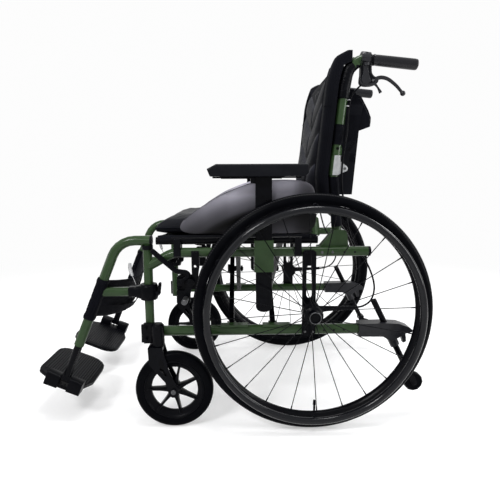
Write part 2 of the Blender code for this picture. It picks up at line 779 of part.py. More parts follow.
def rear_tyre():
    """A rounded tyre seated on the rim."""
    half = TYRE_WIDTH / 2
    seat = WHEEL_RADIUS - TYRE_DEPTH
    profile = (
        (seat, -half * 0.80),
        (seat + 0.52 * TYRE_DEPTH, -half),
        (seat + 0.90 * TYRE_DEPTH, -half * 0.55),
        (WHEEL_RADIUS, 0),
        (seat + 0.90 * TYRE_DEPTH, half * 0.55),
        (seat + 0.52 * TYRE_DEPTH, half),
        (seat, half * 0.80),
    )
    return turned(profile, at(0, WHEEL_RADIUS, WHEEL_Y), (0, -1, 0), WHEEL_STEPS, math.pi / 2)


def handrim():
    """The push ring and the tabs that hold it off the rim."""
    ring_y = WHEEL_Y + HANDRIM_STANDOFF
    ring = [(HANDRIM_RADIUS + u, v) for u, v in round_section(HANDRIM_TUBE, 6)]
    pieces = [turned(ring, at(0, WHEEL_RADIUS, ring_y), (0, -1, 0), WHEEL_STEPS, math.pi / 2)]
    rim_face = WHEEL_Y + RIM_WIDTH / 2 + GAP
    foot_radius = RIM_INNER + 0.0115
    for i in range(HANDRIM_TABS):
        angle = math.tau * (i + 0.5) / HANDRIM_TABS
        foot = at(foot_radius * math.cos(angle), WHEEL_RADIUS + foot_radius * math.sin(angle), rim_face)
        head = at(HANDRIM_RADIUS * math.cos(angle), WHEEL_RADIUS + HANDRIM_RADIUS * math.sin(angle), ring_y)
        pieces.append(leaning_rod(foot, head, 0.0055, (0, 1, 0), 5, 0.0045))
    return combine(pieces)


def caster_housing():
    """The stem bearing's housing, bolted to the front post."""
    low = FORK_CROWN_TOP + GAP
    dome = (
        (0, low + 0.047),
        (STEM_RADIUS + GAP, low + 0.047),
        (STEM_RADIUS + GAP, low),
        (HOUSING_RADIUS, low),
        (HOUSING_RADIUS, HOUSING_TOP - 0.004),
        (HOUSING_RADIUS * 0.72, HOUSING_TOP + 0.0015),
        (0, HOUSING_TOP + 0.003),
    )
    inner = SIDE_Y + LOWER_TUBE / 2 + GAP
    outer = CASTER_Y - STEM_RADIUS - GAP - 0.0015
    plate_low, plate_high = POST_FOOT + 0.001, POST_FOOT + 0.0535
    pieces = [
        turned(dome, at(STEM_X, 0, CASTER_Y), (0, 0, 1), 14),
        block((POST_X - 0.013, -outer, plate_low), (STEM_X, -inner, plate_high)),
        block(
            (POST_X - 0.019, -inner - 0.009, plate_low + 0.002),
            (POST_X + 0.002, -inner - 0.0005, plate_high - 0.004),
        ),
    ]
    for z in (plate_low + 0.012, plate_high - 0.012):
        near = at(POST_X - 0.007, z, inner + 0.006)
        far = at(POST_X - 0.007, z, CASTER_Y + 0.002)
        pieces.append(rod(near, far, 0.0045, 6))
    return combine(pieces)


def caster_fork():
    """Two tapered legs under a crown, with the stem and the axle bolt."""
    inner = CASTER_WIDTH / 2 + 0.0018
    crown_low = FORK_CROWN_TOP - FORK_CROWN
    axle = (CASTER_X, CASTER_RADIUS)
    leg = [
        (STEM_X - 0.023, FORK_CROWN_TOP),
        (STEM_X - 0.0215, FORK_CROWN_TOP - 0.044),
        (axle[0] - 0.021, axle[1] + 0.024),
    ]
    leg += arc((axle[0], axle[1] - 0.003), 0.0145, 170, 375, 5)
    leg += [(axle[0] - 0.010, axle[1] + 0.052), (STEM_X + 0.013, FORK_CROWN_TOP)]
    pieces = []
    for side in (-1, 1):
        near = -CASTER_Y + side * inner
        far = -CASTER_Y + side * (inner + FORK_PLATE)
        pieces.append(prism(leg, min(near, far), max(near, far)))
    pieces.append(
        block(
            (STEM_X - 0.023, -CASTER_Y - inner - FORK_PLATE, crown_low),
            (STEM_X + 0.013, -CASTER_Y + inner + FORK_PLATE, FORK_CROWN_TOP),
        )
    )
    stem_foot = at(STEM_X, crown_low + 0.002, CASTER_Y)
    stem_top = at(STEM_X, FORK_CROWN_TOP + 0.045, CASTER_Y)
    pieces.append(rod(stem_foot, stem_top, STEM_RADIUS, 10))
    reach = inner + FORK_PLATE + 0.004
    pieces.append(rod(at(*axle, CASTER_Y - reach), at(*axle, CASTER_Y + reach), PIN_RADIUS, 8))
    for side in (-1, 1):
        pieces.append(
            rod(at(*axle, CASTER_Y + side * (reach - 0.0045)), at(*axle, CASTER_Y + side * reach), 0.0065, 6)
        )
    slot = capsule((STEM_X + 0.009, axle[1] + 0.060), (STEM_X + 0.019, axle[1] + 0.043), 0.0042, 0.0036, 4)
    return combine(pieces, [prism(slot, -CASTER_Y - 0.04, -CASTER_Y + 0.04)])


def caster_wheel():
    """A moulded wheel with seven spokes and its solid tyre."""
    half = CASTER_WIDTH / 2
    side = [
        (CASTER_OPEN_RADIUS, half * 0.62),
        (CASTER_RIM_RADIUS, half * 0.98),
        (CASTER_RADIUS - 0.0045, half * 0.86),
    ]
    profile = [(r, w) for r, w in side] + [(CASTER_RADIUS, 0)] + [(r, -w) for r, w in reversed(side)]
    centre = at(CASTER_X, CASTER_RADIUS, CASTER_Y)
    bore = PIN_RADIUS + GAP
    hub_half = half + 0.001
    pieces = [
        turned(profile, centre, (0, -1, 0), CASTER_STEPS, math.pi / 2),
        turned(
            ((bore, -hub_half), (CASTER_HUB_RADIUS, -hub_half), (CASTER_HUB_RADIUS, hub_half), (bore, hub_half)),
            centre,
            (0, -1, 0),
            12,
        ),
    ]
    for i in range(CASTER_SPOKES):
        angle = math.pi + math.tau * i / CASTER_SPOKES
        along = Vector((math.cos(angle), 0, math.sin(angle)))
        across = Vector((-along.z, 0, along.x))
        bm = bmesh.new()
        rings = []
        ends = ((CASTER_HUB_RADIUS - 0.003, 0.0052, 0.011), (CASTER_OPEN_RADIUS + 0.004, 0.0034, 0.0075))
        for reach, wide, deep in ends:
            base = centre + along * reach
            corners = ((-1, -1), (1, -1), (1, 1), (-1, 1))
            rings.append([bm.verts.new(base + across * (u * wide) + Vector((0, v * deep, 0))) for u, v in corners])
        join_rings(bm, rings)
        pieces.append(new_mesh(bm))
    return combine(pieces)


def brace_leg(x, lower_sign):
    """One leg of the cross-brace, from its pivot sleeve at the bottom of one side to the rail of the other."""
    foot = Vector((x, lower_sign * BRACE_PIVOT_Y, BRACE_PIVOT_Z))
    head = Vector((x, -lower_sign * RAIL_Y, RAIL_Z))
    along = (head - foot).normalized()
    up = Vector((0, -along.z, along.y))
    if up.z < 0:
        up.negate()
    half_x = LEG_THICKNESS / 2
    half_up = LEG_DEPTH / 2
    bm = bmesh.new()
    rings = []
    section = ((1, 1), (-1, 1), (-1, -1), (1, -1))
    for point in (foot + along * 0.004, head - along * 0.002):
        rings.append([bm.verts.new(point + Vector((u * half_x, 0, 0)) + up * (v * half_up)) for u, v in section])
    join_rings(bm, rings)
    sleeve = rod(foot - Vector((half_x, 0, 0)), foot + Vector((half_x, 0, 0)), 0.0098, 10)
    return [new_mesh(bm), sleeve]


def brace(lower_sign, stagger, bolted):
    """Two legs and the seat rail welded across their tops. One brace carries the centre bolts."""
    rail_y = -lower_sign * RAIL_Y
    rail = rod((RAIL_FRONT_X, rail_y, RAIL_Z), (RAIL_REAR_X, rail_y, RAIL_Z), RAIL_RADIUS, 10)
    pieces = [rail]
    cuts = []
    reach = LEG_THICKNESS / 2 + 0.02
    for x in LEG_XS:
        leg_x = x + stagger
        pieces += brace_leg(leg_x, lower_sign)
        cuts.append(
            rod(
                (leg_x - reach, lower_sign * BRACE_PIVOT_Y, BRACE_PIVOT_Z),
                (leg_x + reach, lower_sign * BRACE_PIVOT_Y, BRACE_PIVOT_Z),
                bore_size(PIN_RADIUS),
                8,
            )
        )
        if bolted:
            pieces += centre_bolt(x)
        else:
            ends = [(leg_x + sign * reach, 0, BRACE_CENTRE_Z) for sign in (-1, 1)]
            cuts.append(rod(*ends, bore_size(CENTRE_BOLT), 8))
    return combine(pieces, cuts)


def centre_bolt(x):
    """The pivot bolt through both legs, with a lobed knob in front and a nut behind."""
    leg_back = x + LEG_STAGGER + LEG_THICKNESS / 2
    leg_front = x - LEG_THICKNESS / 2
    centre = (0, BRACE_CENTRE_Z)
    lobes = []
    for i in range(2 * KNOB_LOBES):
        radius = KNOB_RADIUS * (1 if i % 2 else 0.78)
        angle = math.pi * i / KNOB_LOBES
        lobes.append((centre[0] + radius * math.cos(angle), centre[1] + radius * math.sin(angle)))
    spacer_end = x + LEG_STAGGER - LEG_THICKNESS / 2 - GAP
    nut = leg_back + GAP
    steps = (
        (CENTRE_BOLT, leg_front - 0.003),
        (CENTRE_BOLT, x),
        (0.0085, x),
        (0.0085, spacer_end),
        (CENTRE_BOLT, spacer_end),
        (CENTRE_BOLT, nut),
        (0.0092, nut),
        (0.0092, nut + 0.006),
        (CENTRE_BOLT, nut + 0.006),
        (CENTRE_BOLT, nut + 0.008),
    )
    profile = [(0, steps[0][1])] + list(steps) + [(0, steps[-1][1])]
    return [
        prism(lobes, leg_front - 0.007, leg_front + 0.001, "YZ"),
        turned(profile, (0, *centre), (1, 0, 0), 8),
    ]


def sag_at(y):
    """How far the seat sags below its edges at a distance from the middle."""
    return SEAT_SAG * (1 - min(1.0, (y / SLING_HALF_WIDTH / SLING_SHARES[-2]) ** 2))


def seat_sling():
    """The fabric seat stretched between the rails, sagging a little."""
    top, bottom = [], []
    edge = RAIL_Z + RAIL_RADIUS + GAP
    reach = SLING_HALF_WIDTH
    for share in SLING_SHARES:
        drop = sag_at(share * reach)
        bottom.append((share * reach, edge - drop))
        top.append((share * reach, edge - drop + SLING_THICKNESS))
    return prism(bottom + list(reversed(top)), RAIL_FRONT_X + 0.004, RAIL_REAR_X - 0.002, "YZ")


def seat_cushion():
    """A crowned cushion with drawn-in sides, thinner at its front lip, with a sewn channel across it."""
    across, along = 10, 12
    rest = RAIL_Z + RAIL_RADIUS + GAP + SLING_THICKNESS + GAP * 4
    middle_x = (CUSHION_FRONT_X + CUSHION_REAR_X) / 2
    half_length = (CUSHION_REAR_X - CUSHION_FRONT_X) / 2
    bm = bmesh.new()

    def spot(i, j):
        """Plan position on a grid outlined as a rounded rectangle with drawn-in sides."""
        u = -1 + 2 * i / along
        v = -1 + 2 * j / across
        pull = 1 - 0.035 * (1 - abs(v) ** 2) * (abs(u) > 0.999)
        squeeze = 1 - 0.045 * max(0.0, 1 - (u * 1.15) ** 2) * abs(v) ** 3
        corner = max(0.0, abs(u) + abs(v) - 1.35)
        trim = 1 - (0.07 if u < 0 else 0.22) * corner
        return u, v, middle_x + half_length * u * pull * trim, CUSHION_HALF_WIDTH * v * squeeze * trim

    top, bottom = {}, {}
    for i in range(along + 1):
        for j in range(across + 1):
            u, v, x, y = spot(i, j)
            edge = (1 - abs(u) ** 6) * (1 - abs(v) ** 6)
            front = min(1.0, 0.28 + 1.3 * (u + 1))
            sag = sag_at(y)
            crown = CUSHION_CROWN * (1 - v * v) * math.sin(math.pi * min(1.0, (u + 1) / 1.7))
            channel = 0.005 if i == along // 2 else 0.0
            height = 0.016 + (CUSHION_HEIGHT - 0.016) * front * edge ** 0.5 + crown - channel * edge
            bottom[i, j] = bm.verts.new((x, y, rest - sag * edge + 0.007 * (1 - edge)))
            top[i, j] = bm.verts.new((x, y, rest - sag * edge + height))
    for i in range(along):
        for j in range(across):
            bm.faces.new((top[i, j], top[i + 1, j], top[i + 1, j + 1], top[i, j + 1]))
            bm.faces.new((bottom[i, j + 1], bottom[i + 1, j + 1], bottom[i + 1, j], bottom[i, j]))
    for i in range(along):
        for j, flip in ((0, False), (across, True)):
            ring = (bottom[i, j], bottom[i + 1, j], top[i + 1, j], top[i, j])
            bm.faces.new(reversed(ring) if flip else ring)
    for j in range(across):
        for i, flip in ((0, True), (along, False)):
            ring = (bottom[i, j], bottom[i, j + 1], top[i, j + 1], top[i, j])
            bm.faces.new(reversed(ring) if flip else ring)
    return new_mesh(bm)


def cane_x(z):
    """How far back the back cane stands at a height."""
    if z < CANE_WAIST_Z:
        share = (z - UPPER_Z) / (CANE_WAIST_Z - UPPER_Z)
        return CANE_FOOT_X + (CANE_WAIST_X - CANE_FOOT_X) * share
    share = (z - CANE_WAIST_Z) / (UPPER_CANE_LEAN_Z - CANE_WAIST_Z)
    return CANE_WAIST_X + (UPPER_CANE_LEAN_X - CANE_WAIST_X) * share + 1.1 * max(0.0, z - 0.86) ** 1.7


def pad_depth(level):
    """How far the pad stands out from its shell: most at the small of the back, less towards the shoulders."""
    return PAD_DEPTH * (1 - PAD_TAPER * (level - BACK_BOTTOM) / (PAD_TOP - BACK_BOTTOM))


def back_rest():
    """The padded back: a shell with wings before the canes, a pad with chevron channels, a rear pocket."""
    columns = (-1, -0.86, -0.76, -0.72, -0.56, -0.29, 0, 0.29, 0.56, 0.72, 0.76, 0.86, 1)
    pitch = (PAD_TOP - BACK_BOTTOM) / CHEVRONS
    levels = [BACK_BOTTOM]
    for i in range(CHEVRONS):
        base = BACK_BOTTOM + pitch * i
        levels += [base + 0.30 * pitch, base + 0.72 * pitch, base + pitch]
    levels += [(PAD_TOP + BACK_TOP) / 2, BACK_TOP]
    bm = bmesh.new()
    front, rear = {}, {}
    dip = BACK_TOP - PAD_TOP - 0.006
    for row, level in enumerate(levels):
        groove = row % 3 == 0 and 0 < row <= 3 * CHEVRONS
        rise = min(1.0, (level - BACK_BOTTOM) / (2 * pitch), max(0.0, (PAD_TOP - level) / (1.5 * pitch)))
        for column, share in enumerate(columns):
            y = share * BACK_HALF_WIDTH
            fade = min(1.0, max(0.0, (1 - abs(share)) / 0.24))
            z = level + CHEVRON_SLOPE * (abs(y) - 0.37 * BACK_HALF_WIDTH) * max(0.0, rise) * fade
            back_x = cane_x(z) - CANE_RADIUS - max(BRACKET_WALL, BOOT_WALL) - GAP * 3
            depth = WING_DEPTH * (1 - 0.35 * (abs(share) == 1))
            inside = abs(y) < PAD_HALF_WIDTH
            if inside and level < PAD_TOP + 0.001:
                bulge = (1 - (abs(y) / PAD_HALF_WIDTH) ** 4) ** 0.5
                ends = min(1.0, (PAD_TOP - level) / 0.03 + 0.30)
                depth += pad_depth(level) * bulge * ends
                if groove:
                    depth -= CHANNEL_DEPTH
            if row in (0, len(levels) - 1):
                depth *= 0.45
            above = max(0.0, (level - PAD_TOP) / (BACK_TOP - PAD_TOP))
            z -= dip * above * min(1.0, max(0.0, (0.88 - abs(share)) / 0.14))
            rear[row, column] = bm.verts.new((back_x, y, z))
            front[row, column] = bm.verts.new((back_x - depth, y, z))
    last_row, last_column = len(levels) - 1, len(columns) - 1
    for row in range(last_row):
        for column in range(last_column):
            a, b, c, d = (row, column), (row, column + 1), (row + 1, column + 1), (row + 1, column)
            bm.faces.new([front[k] for k in (a, d, c, b)])
            bm.faces.new([rear[k] for k in (a, b, c, d)])
    for row in range(last_row):
        for column in (0, last_column):
            a, b = (row, column), (row + 1, column)
            bm.faces.new((front[a], front[b], rear[b], rear[a]))
    for column in range(last_column):
        for row in (0, last_row):
            a, b = (row, column), (row, column + 1)
            bm.faces.new((front[a], front[b], rear[b], rear[a]))
    low, high = BACK_BOTTOM + 0.014, BACK_TOP - 0.086
    rear = cane_x(low) + CANE_RADIUS + POCKET_STANDOFF
    pocket = [
        (cane_x(low) - CANE_RADIUS - 0.016, low),
        (rear, low),
        (rear + 0.0140, high - 0.1065),
        (rear + 0.0236, high - 0.0410),
        (rear - 0.0030, high),
        (cane_x(high) - CANE_RADIUS - 0.016, high),
    ]
    flap = [
        (rear - 0.003, high - 0.105),
        (rear + 0.007, high - 0.105),
        (rear + 0.0422, high - 0.094),
        (rear + 0.0443, high - 0.0695),
        (rear + 0.0157, high - 0.017),
        (rear + 0.002, high - 0.012),
    ]
    return combine(
        [
            new_mesh(bm),
            prism(pocket, -POCKET_HALF_WIDTH, POCKET_HALF_WIDTH),
            prism(flap, -POCKET_HALF_WIDTH + 0.004, POCKET_HALF_WIDTH - 0.004),
        ]
    )


def calf_strap():
    """A fabric sleeve round each hanger with a panel slung behind the calves."""
    start = Vector((HANGER_END[0], 0, HANGER_END[1])) - HANGER_DOWN * 0.190
    length = 0.112
    inner = HANGER_TUBE / 2 + GAP
    outer = inner + 0.0022
    pieces = []
    notch = rounded_square(CROSS_TUBE / 2 + GAP * 2, CROSS_CORNER)
    cuts = []
    for side in (-1, 1):
        route = [Vector((point.x, side * SIDE_Y, point.z)) for point in cross_tube_route()]
        cuts.append(swept(route, notch))
        centre = start + Vector((0, side * SIDE_Y, 0))
        end = centre + HANGER_DOWN * length
        pieces.append(swept((centre, end), rounded_square(outer, TUBE_CORNER + outer - inner)))
        cuts.append(
            swept((centre - HANGER_DOWN * 0.01, end + HANGER_DOWN * 0.01), rounded_square(inner, TUBE_CORNER))
        )
    forward = FOOT_FORWARD
    steps = 12
    bm = bmesh.new()
    rings = []
    reach = SIDE_Y - inner - 0.0005
    for i in range(steps + 1):
        share = -1 + 2 * i / steps
        depth = 0.052 * (1 - share * share)
        base = start + Vector((0, share * reach, 0)) - forward * (depth + 0.002)
        ring = []
        for down, out in ((0.004, 0), (length - 0.004, 0), (length - 0.004, 0.0035), (0.004, 0.0035)):
            ring.append(bm.verts.new(base + HANGER_DOWN * down - forward * out))
        rings.append(ring)
    join_rings(bm, rings)
    pieces.append(new_mesh(bm))
    return combine(pieces, cuts)


def arm_post():
    """The armrest's post with a rounded foot, the rail under the pad and its gusset."""
    half = ARM_POST_WIDTH / 2
    top = ARM_PAD_Z - GAP
    inner, outer = ARM_POST_Y - ARM_POST_THICKNESS / 2, ARM_POST_Y + ARM_POST_THICKNESS / 2
    outline = [(ARM_POST_X - half, top)]
    for i in range(7):
        angle = math.radians(180 + 30 * i)
        height = ARM_POST_FOOT + 0.013 * (1 + math.sin(angle))
        outline.append((ARM_POST_X + half * math.cos(angle), height))
    outline.append((ARM_POST_X + half, top))
    rail_low = (ARM_PAD_FRONT_X + 0.012, -ARM_POST_Y - 0.005, ARM_PAD_Z - 0.0042)
    gusset_low = (ARM_POST_X - half - 0.012, -ARM_POST_Y - 0.005, ARM_PAD_Z - 0.017)
    pieces = [
        prism(outline, -outer, -inner),
        block(rail_low, (ARM_PAD_REAR_X - 0.014, -inner, top)),
        block(gusset_low, (ARM_POST_X, -inner, ARM_PAD_Z - 0.001)),
        rod(at(ARM_POST_X, 0.515, outer - 0.001), at(ARM_POST_X, 0.515, outer + 0.003), 0.0075, 10),
    ]
    return combine(pieces)


def arm_pad():
    """The moulded pad, bevelled at its nose."""
    low, high = ARM_PAD_Z, ARM_PAD_Z + ARM_PAD_HEIGHT
    outline = [
        (ARM_PAD_FRONT_X + 0.0075, low),
        (ARM_PAD_REAR_X - 0.0090, low),
        (ARM_PAD_REAR_X, low + 0.008),
        (ARM_PAD_REAR_X - 0.0015, high),
        (ARM_PAD_FRONT_X + 0.022, high),
        (ARM_PAD_FRONT_X, high - 0.0115),
    ]
    half = ARM_PAD_WIDTH / 2
    mesh = prism(outline, -ARM_PAD_Y - half, -ARM_PAD_Y + half)
    bm = bmesh.new()
    bm.from_mesh(mesh)
    long_edges = [
        edge
        for edge in bm.edges
        if abs(edge.verts[0].co.y - edge.verts[1].co.y) < 1e-6 and min(v.co.z for v in edge.verts) > low + 0.009
    ]
    bmesh.ops.bevel(bm, geom=long_edges, offset=0.006, segments=2, profile=0.5, affect="EDGES")
    return new_mesh(bm)


def skirt_guard():
    """The curved side panel that keeps clothing off the wheel, up to just below the arm pad."""
    rise = (ARM_PAD_Z - GUARD_BELOW_PAD - GUARD_LOW) / GUARD_HEIGHT
    points = (
        (-0.298, GUARD_LOW),
        (-0.322, GUARD_LOW + 0.007 * rise),
        (-0.3305, GUARD_LOW + 0.024 * rise),
        (-0.322, GUARD_LOW + 0.047 * rise),
        (-0.294, GUARD_LOW + 0.073 * rise),
        (-0.229, GUARD_LOW + 0.112 * rise),
        (-0.189, GUARD_LOW + 0.1265 * rise),
        (-0.145, GUARD_LOW + 0.1335 * rise),
        (-0.095, GUARD_LOW + GUARD_HEIGHT * rise),
        (-0.034, GUARD_LOW + 0.132 * rise),
        (-0.004, GUARD_LOW + 0.122 * rise),
        (0.008, GUARD_LOW + 0.098 * rise),
        (0.0115, GUARD_LOW + 0.035 * rise),
        (0.0005, GUARD_LOW + 0.010 * rise),
        (-0.026, GUARD_LOW),
    )
    outer = ARM_POST_Y - ARM_POST_THICKNESS / 2 - GAP
    curve = smooth_curve([(x, 0, z) for x, z in points], 2)
    outline = [(point.x, point.z) for point in curve]
    return prism(outline, -outer, -outer + GUARD_THICKNESS)


def back_bracket():
    """The cast hinge bracket on the lower cane, with two ears behind and the pin between them."""
    low, high = at(CANE_WAIST_X, CANE_WAIST_Z + GAP, CANE_Y), at(cane_x(BRACKET_TOP), BRACKET_TOP, CANE_Y)
    pieces = [leaning_rod(low, high, CANE_RADIUS + BRACKET_WALL, (0, 0, 1), 12)]
    ear = [(CANE_WAIST_X, BRACKET_TOP - 0.002), (CANE_WAIST_X + 0.013, BRACKET_TOP - 0.002)]
    ear += [(CANE_WAIST_X + 0.0155, BACK_PIVOT_Z + 0.018)]
    ear += arc((BACK_PIVOT_X, BACK_PIVOT_Z), BACK_EAR_RADIUS, 50, -90, 5)
    ear += [(CANE_WAIST_X + 0.010, CANE_WAIST_Z + 0.001), (CANE_WAIST_X, CANE_WAIST_Z + 0.001)]
    gap = KNUCKLE_HALF + GAP * 2
    for side in (-1, 1):
        pieces.append(prism(ear, *sorted((-CANE_Y + side * gap, -CANE_Y + side * (gap + CHEEK)))))
    reach = gap + CHEEK
    ends = [at(BACK_PIVOT_X, BACK_PIVOT_Z, CANE_Y + side * reach) for side in (-1, 1)]
    pieces.append(rod(*ends, BACK_PIN, 8))
    return combine(pieces)


def cane_route():
    """The upper cane's centre line, up from the hinge and back along the push handle."""
    start = at(cane_x(BRACKET_TOP + GAP), BRACKET_TOP + GAP, CANE_Y)
    lean = at(UPPER_CANE_LEAN_X + 0.0025, UPPER_CANE_LEAN_Z + 0.025, CANE_Y)
    shoulder = at(HANDLE_BEND_X, HANDLE_TOP_Z - 0.003, CANE_Y)
    end = at(GRIP_END_X - 0.006, GRIP_END_Z, CANE_Y)
    crown = at(HANDLE_BEND_X + 0.030, HANDLE_TOP_Z, CANE_Y)
    return bent((start, lean, shoulder.lerp(lean, 0.25), crown, end), 0.040, 2)


def cane_boot():
    """The rubber boot that covers the cane's bend below the handle."""
    route = cane_route()
    top = next(i for i, point in enumerate(route) if point.z > HANDLE_TOP_Z - 0.012)
    covered = [route[top]]
    length = 0.0
    for point in reversed(route[:top]):
        step = (point - covered[-1]).length
        if length + step >= BOOT_LENGTH:
            covered.append(covered[-1].lerp(point, (BOOT_LENGTH - length) / step))
            break
        covered.append(point)
        length += step
    return swept(reversed(covered), round_section(CANE_RADIUS + BOOT_WALL, 10))


def upper_cane():
    """The folding upper cane with its push handle, ribbed boot, hinge knuckle and the brake lever's clamp."""
    route = cane_route()
    pieces = [swept(route, round_section(CANE_RADIUS, 10), level_start=True), cane_boot()]
    low = BRACKET_TOP + GAP * 2
    rear = RELEASE_PIVOT[0] + 0.0055
    knuckle = [(cane_x(low) + 0.002, low), (BACK_PIVOT_X - 0.0060, low)]
    knuckle += arc((BACK_PIVOT_X, BACK_PIVOT_Z), BACK_EAR_RADIUS, 180, 360, 4)
    knuckle += arc(RELEASE_PIVOT, 0.0055, 0, 90, 2)
    knuckle += [(cane_x(low) + 0.002, RELEASE_PIVOT[1] + 0.016)]
    pieces.append(prism(knuckle, -CANE_Y - KNUCKLE_HALF, -CANE_Y + KNUCKLE_HALF))
    half = RELEASE_HALF + GAP * 2
    slot = block(
        (RELEASE_PIVOT[0] - 0.0062, -CANE_Y - half, RELEASE_PIVOT[1] - 0.0066),
        (rear + 0.010, -CANE_Y + half, RELEASE_PIVOT[1] + 0.020),
    )
    bore = [at(BACK_PIVOT_X, BACK_PIVOT_Z, CANE_Y + side * 0.02) for side in (-1, 1)]
    cane = combine(pieces, [slot, rod(*bore, bore_size(BACK_PIN), 8)])
    pin = [at(*RELEASE_PIVOT, CANE_Y + side * (half + 0.001)) for side in (-1, 1)]
    pieces = [cane, rod(*pin, RELEASE_PIN, 8)]
    pieces += brake_perch()
    return combine(pieces)


def brake_perch():
    """The clamp on the handle and the body below it, whose cheeks hold the brake lever's pin."""
    top = HANDLE_TOP_Z - 0.0015
    body_outline = [
        (PERCH_X - 0.012, top - 0.008),
        (PERCH_X + 0.013, top - 0.010),
        (PERCH_X + 0.0125, top - 0.0350),
        (BRAKE_PIVOT[0] + 0.005, BRAKE_PIVOT[1] + 0.006),
        (BRAKE_PIVOT[0] + 0.005, BRAKE_PIVOT[1] - 0.005),
        (PERCH_X + 0.008, top - 0.0600),
        (PERCH_X - 0.0095, top - 0.0565),
        (PERCH_X - 0.0120, top - 0.0450),
    ]
    clamp = (at(PERCH_X - 0.011, top, CANE_Y), at(PERCH_X + 0.012, top - 0.001, CANE_Y))
    pieces = [rod(*clamp, CANE_RADIUS + 0.0055, 12)]
    pieces.append(prism(body_outline[:3] + body_outline[5:], -CANE_Y - 0.0085, -CANE_Y + 0.0085))
    for side in (-1, 1):
        near, far = sorted((-CANE_Y + side * 0.0050, -CANE_Y + side * 0.0085))
        pieces.append(prism(body_outline[2:6], near, far))
    pieces.append(rod(at(*BRAKE_PIVOT, CANE_Y - 0.0085), at(*BRAKE_PIVOT, CANE_Y + 0.0085), PERCH_PIN, 8))
    return pieces


def back_release():
    """The folding catch's lever, on its own small pin in the knuckle's slot."""
    tip = (RELEASE_PIVOT[0] + 0.0160, RELEASE_PIVOT[1] + 0.0245)
    low, high = -CANE_Y - RELEASE_HALF, -CANE_Y + RELEASE_HALF
    lever = prism(capsule(RELEASE_PIVOT, tip, 0.0052, 0.0032, 4), low, high)
    ends = [at(*RELEASE_PIVOT, CANE_Y + side * 0.02) for side in (-1, 1)]
    return combine([lever], [rod(*ends, bore_size(RELEASE_PIN), 8)])


def push_grip():
    """A closed rubber grip over the end of the handle."""
    route = cane_route()
    end, before = route[-1], route[-2]
    along = (end - before).normalized()
    start = end - along * (GRIP_END_X - GRIP_START_X - 0.004)
    length = (end - start).length
    bore = (CANE_RADIUS + GAP) / math.cos(math.pi / 12)
    profile = (
        (0, length + GAP * 2),
        (bore, length + GAP * 2),
        (bore, 0),
        (GRIP_RADIUS, 0),
        (GRIP_RADIUS, length + 0.002),
        (GRIP_RADIUS - 0.003, length + 0.0055),
        (0, length + 0.0060),
    )
    return turned(profile, start, along, 12)


def brake_lever():
    """The curved hand lever with a ball at its tip and a small parking catch."""
    pivot = at(*BRAKE_PIVOT, CANE_Y)
    points = [pivot]
    for ahead, up in ((0.0226, 0.0089), (0.0487, -0.0021), (0.0687, -0.0196)):
        points.append(at(BRAKE_PIVOT[0] + ahead, BRAKE_PIVOT[1] + up, CANE_Y))
    points.append(at(*BRAKE_TIP, CANE_Y))
    bm = bmesh.new()
    rings = []
    curve = smooth_curve(points, 2)
    for i, point in enumerate(curve):
        heading = (curve[min(i + 1, len(curve) - 1)] - curve[max(i - 1, 0)]).normalized()
        up = heading.cross(Vector((0, 1, 0))).normalized()
        share = i / (len(curve) - 1)
        tall = 0.0062 - 0.0034 * share
        section = [Vector((0, u * 0.0042, 0)) + up * (v * tall) for u, v in round_section(1.0, 6)]
        rings.append([bm.verts.new(point + offset) for offset in section])
    join_rings(bm, rings)
    catch_root = (BRAKE_PIVOT[0] + 0.003, BRAKE_PIVOT[1] - 0.005)
    catch_tip = (BRAKE_PIVOT[0] + 0.0232, BRAKE_PIVOT[1] - 0.0311)
    catch = prism(capsule(catch_root, catch_tip, 0.0040, 0.0030, 3), -CANE_Y - 0.0030, -CANE_Y + 0.0030)
    size = 0.0068
    profile = [(0, -size)] + arc((0, 0), size, -45, 45, 2) + [(0, size)]
    ball = turned(profile, at(*BRAKE_TIP, CANE_Y), (0, 1, 0), 8)
    boss = rod(at(*BRAKE_PIVOT, CANE_Y - 0.0046), at(*BRAKE_PIVOT, CANE_Y + 0.0046), 0.0062, 8)
    bore = rod(at(*BRAKE_PIVOT, CANE_Y - 0.02), at(*BRAKE_PIVOT, CANE_Y + 0.02), bore_size(PERCH_PIN), 8)
    return combine([new_mesh(bm), boss, catch, ball], [bore])


def brake_cable(side):
    """The brake cable from its lever down the cane and round to the drum, as one bevelled curve."""
    sign = -1 if side == "left" else 1
    route = smooth_curve([(x, sign * y, z) for x, z, y in CABLE_POINTS], 2)
    curve = bpy.data.curves.new(f"{side}_brake_cable", "CURVE")
    curve.dimensions = "3D"
    curve.bevel_depth = CABLE_RADIUS
    curve.bevel_resolution = 1
    curve.use_fill_caps = True
    spline = curve.splines.new("POLY")
    spline.points.add(len(route) - 1)
    empty, pivot = BODIES[f"{side}_frame"]
    for point, place in zip(spline.points, route):
        point.co = (*(place - pivot), 1.0)
    curve.materials.append(material("black_plastic"))
    cable = bpy.data.objects.new(f"{side}_brake_cable", curve)
    bpy.context.scene.collection.objects.link(cable)
    cable.parent = empty


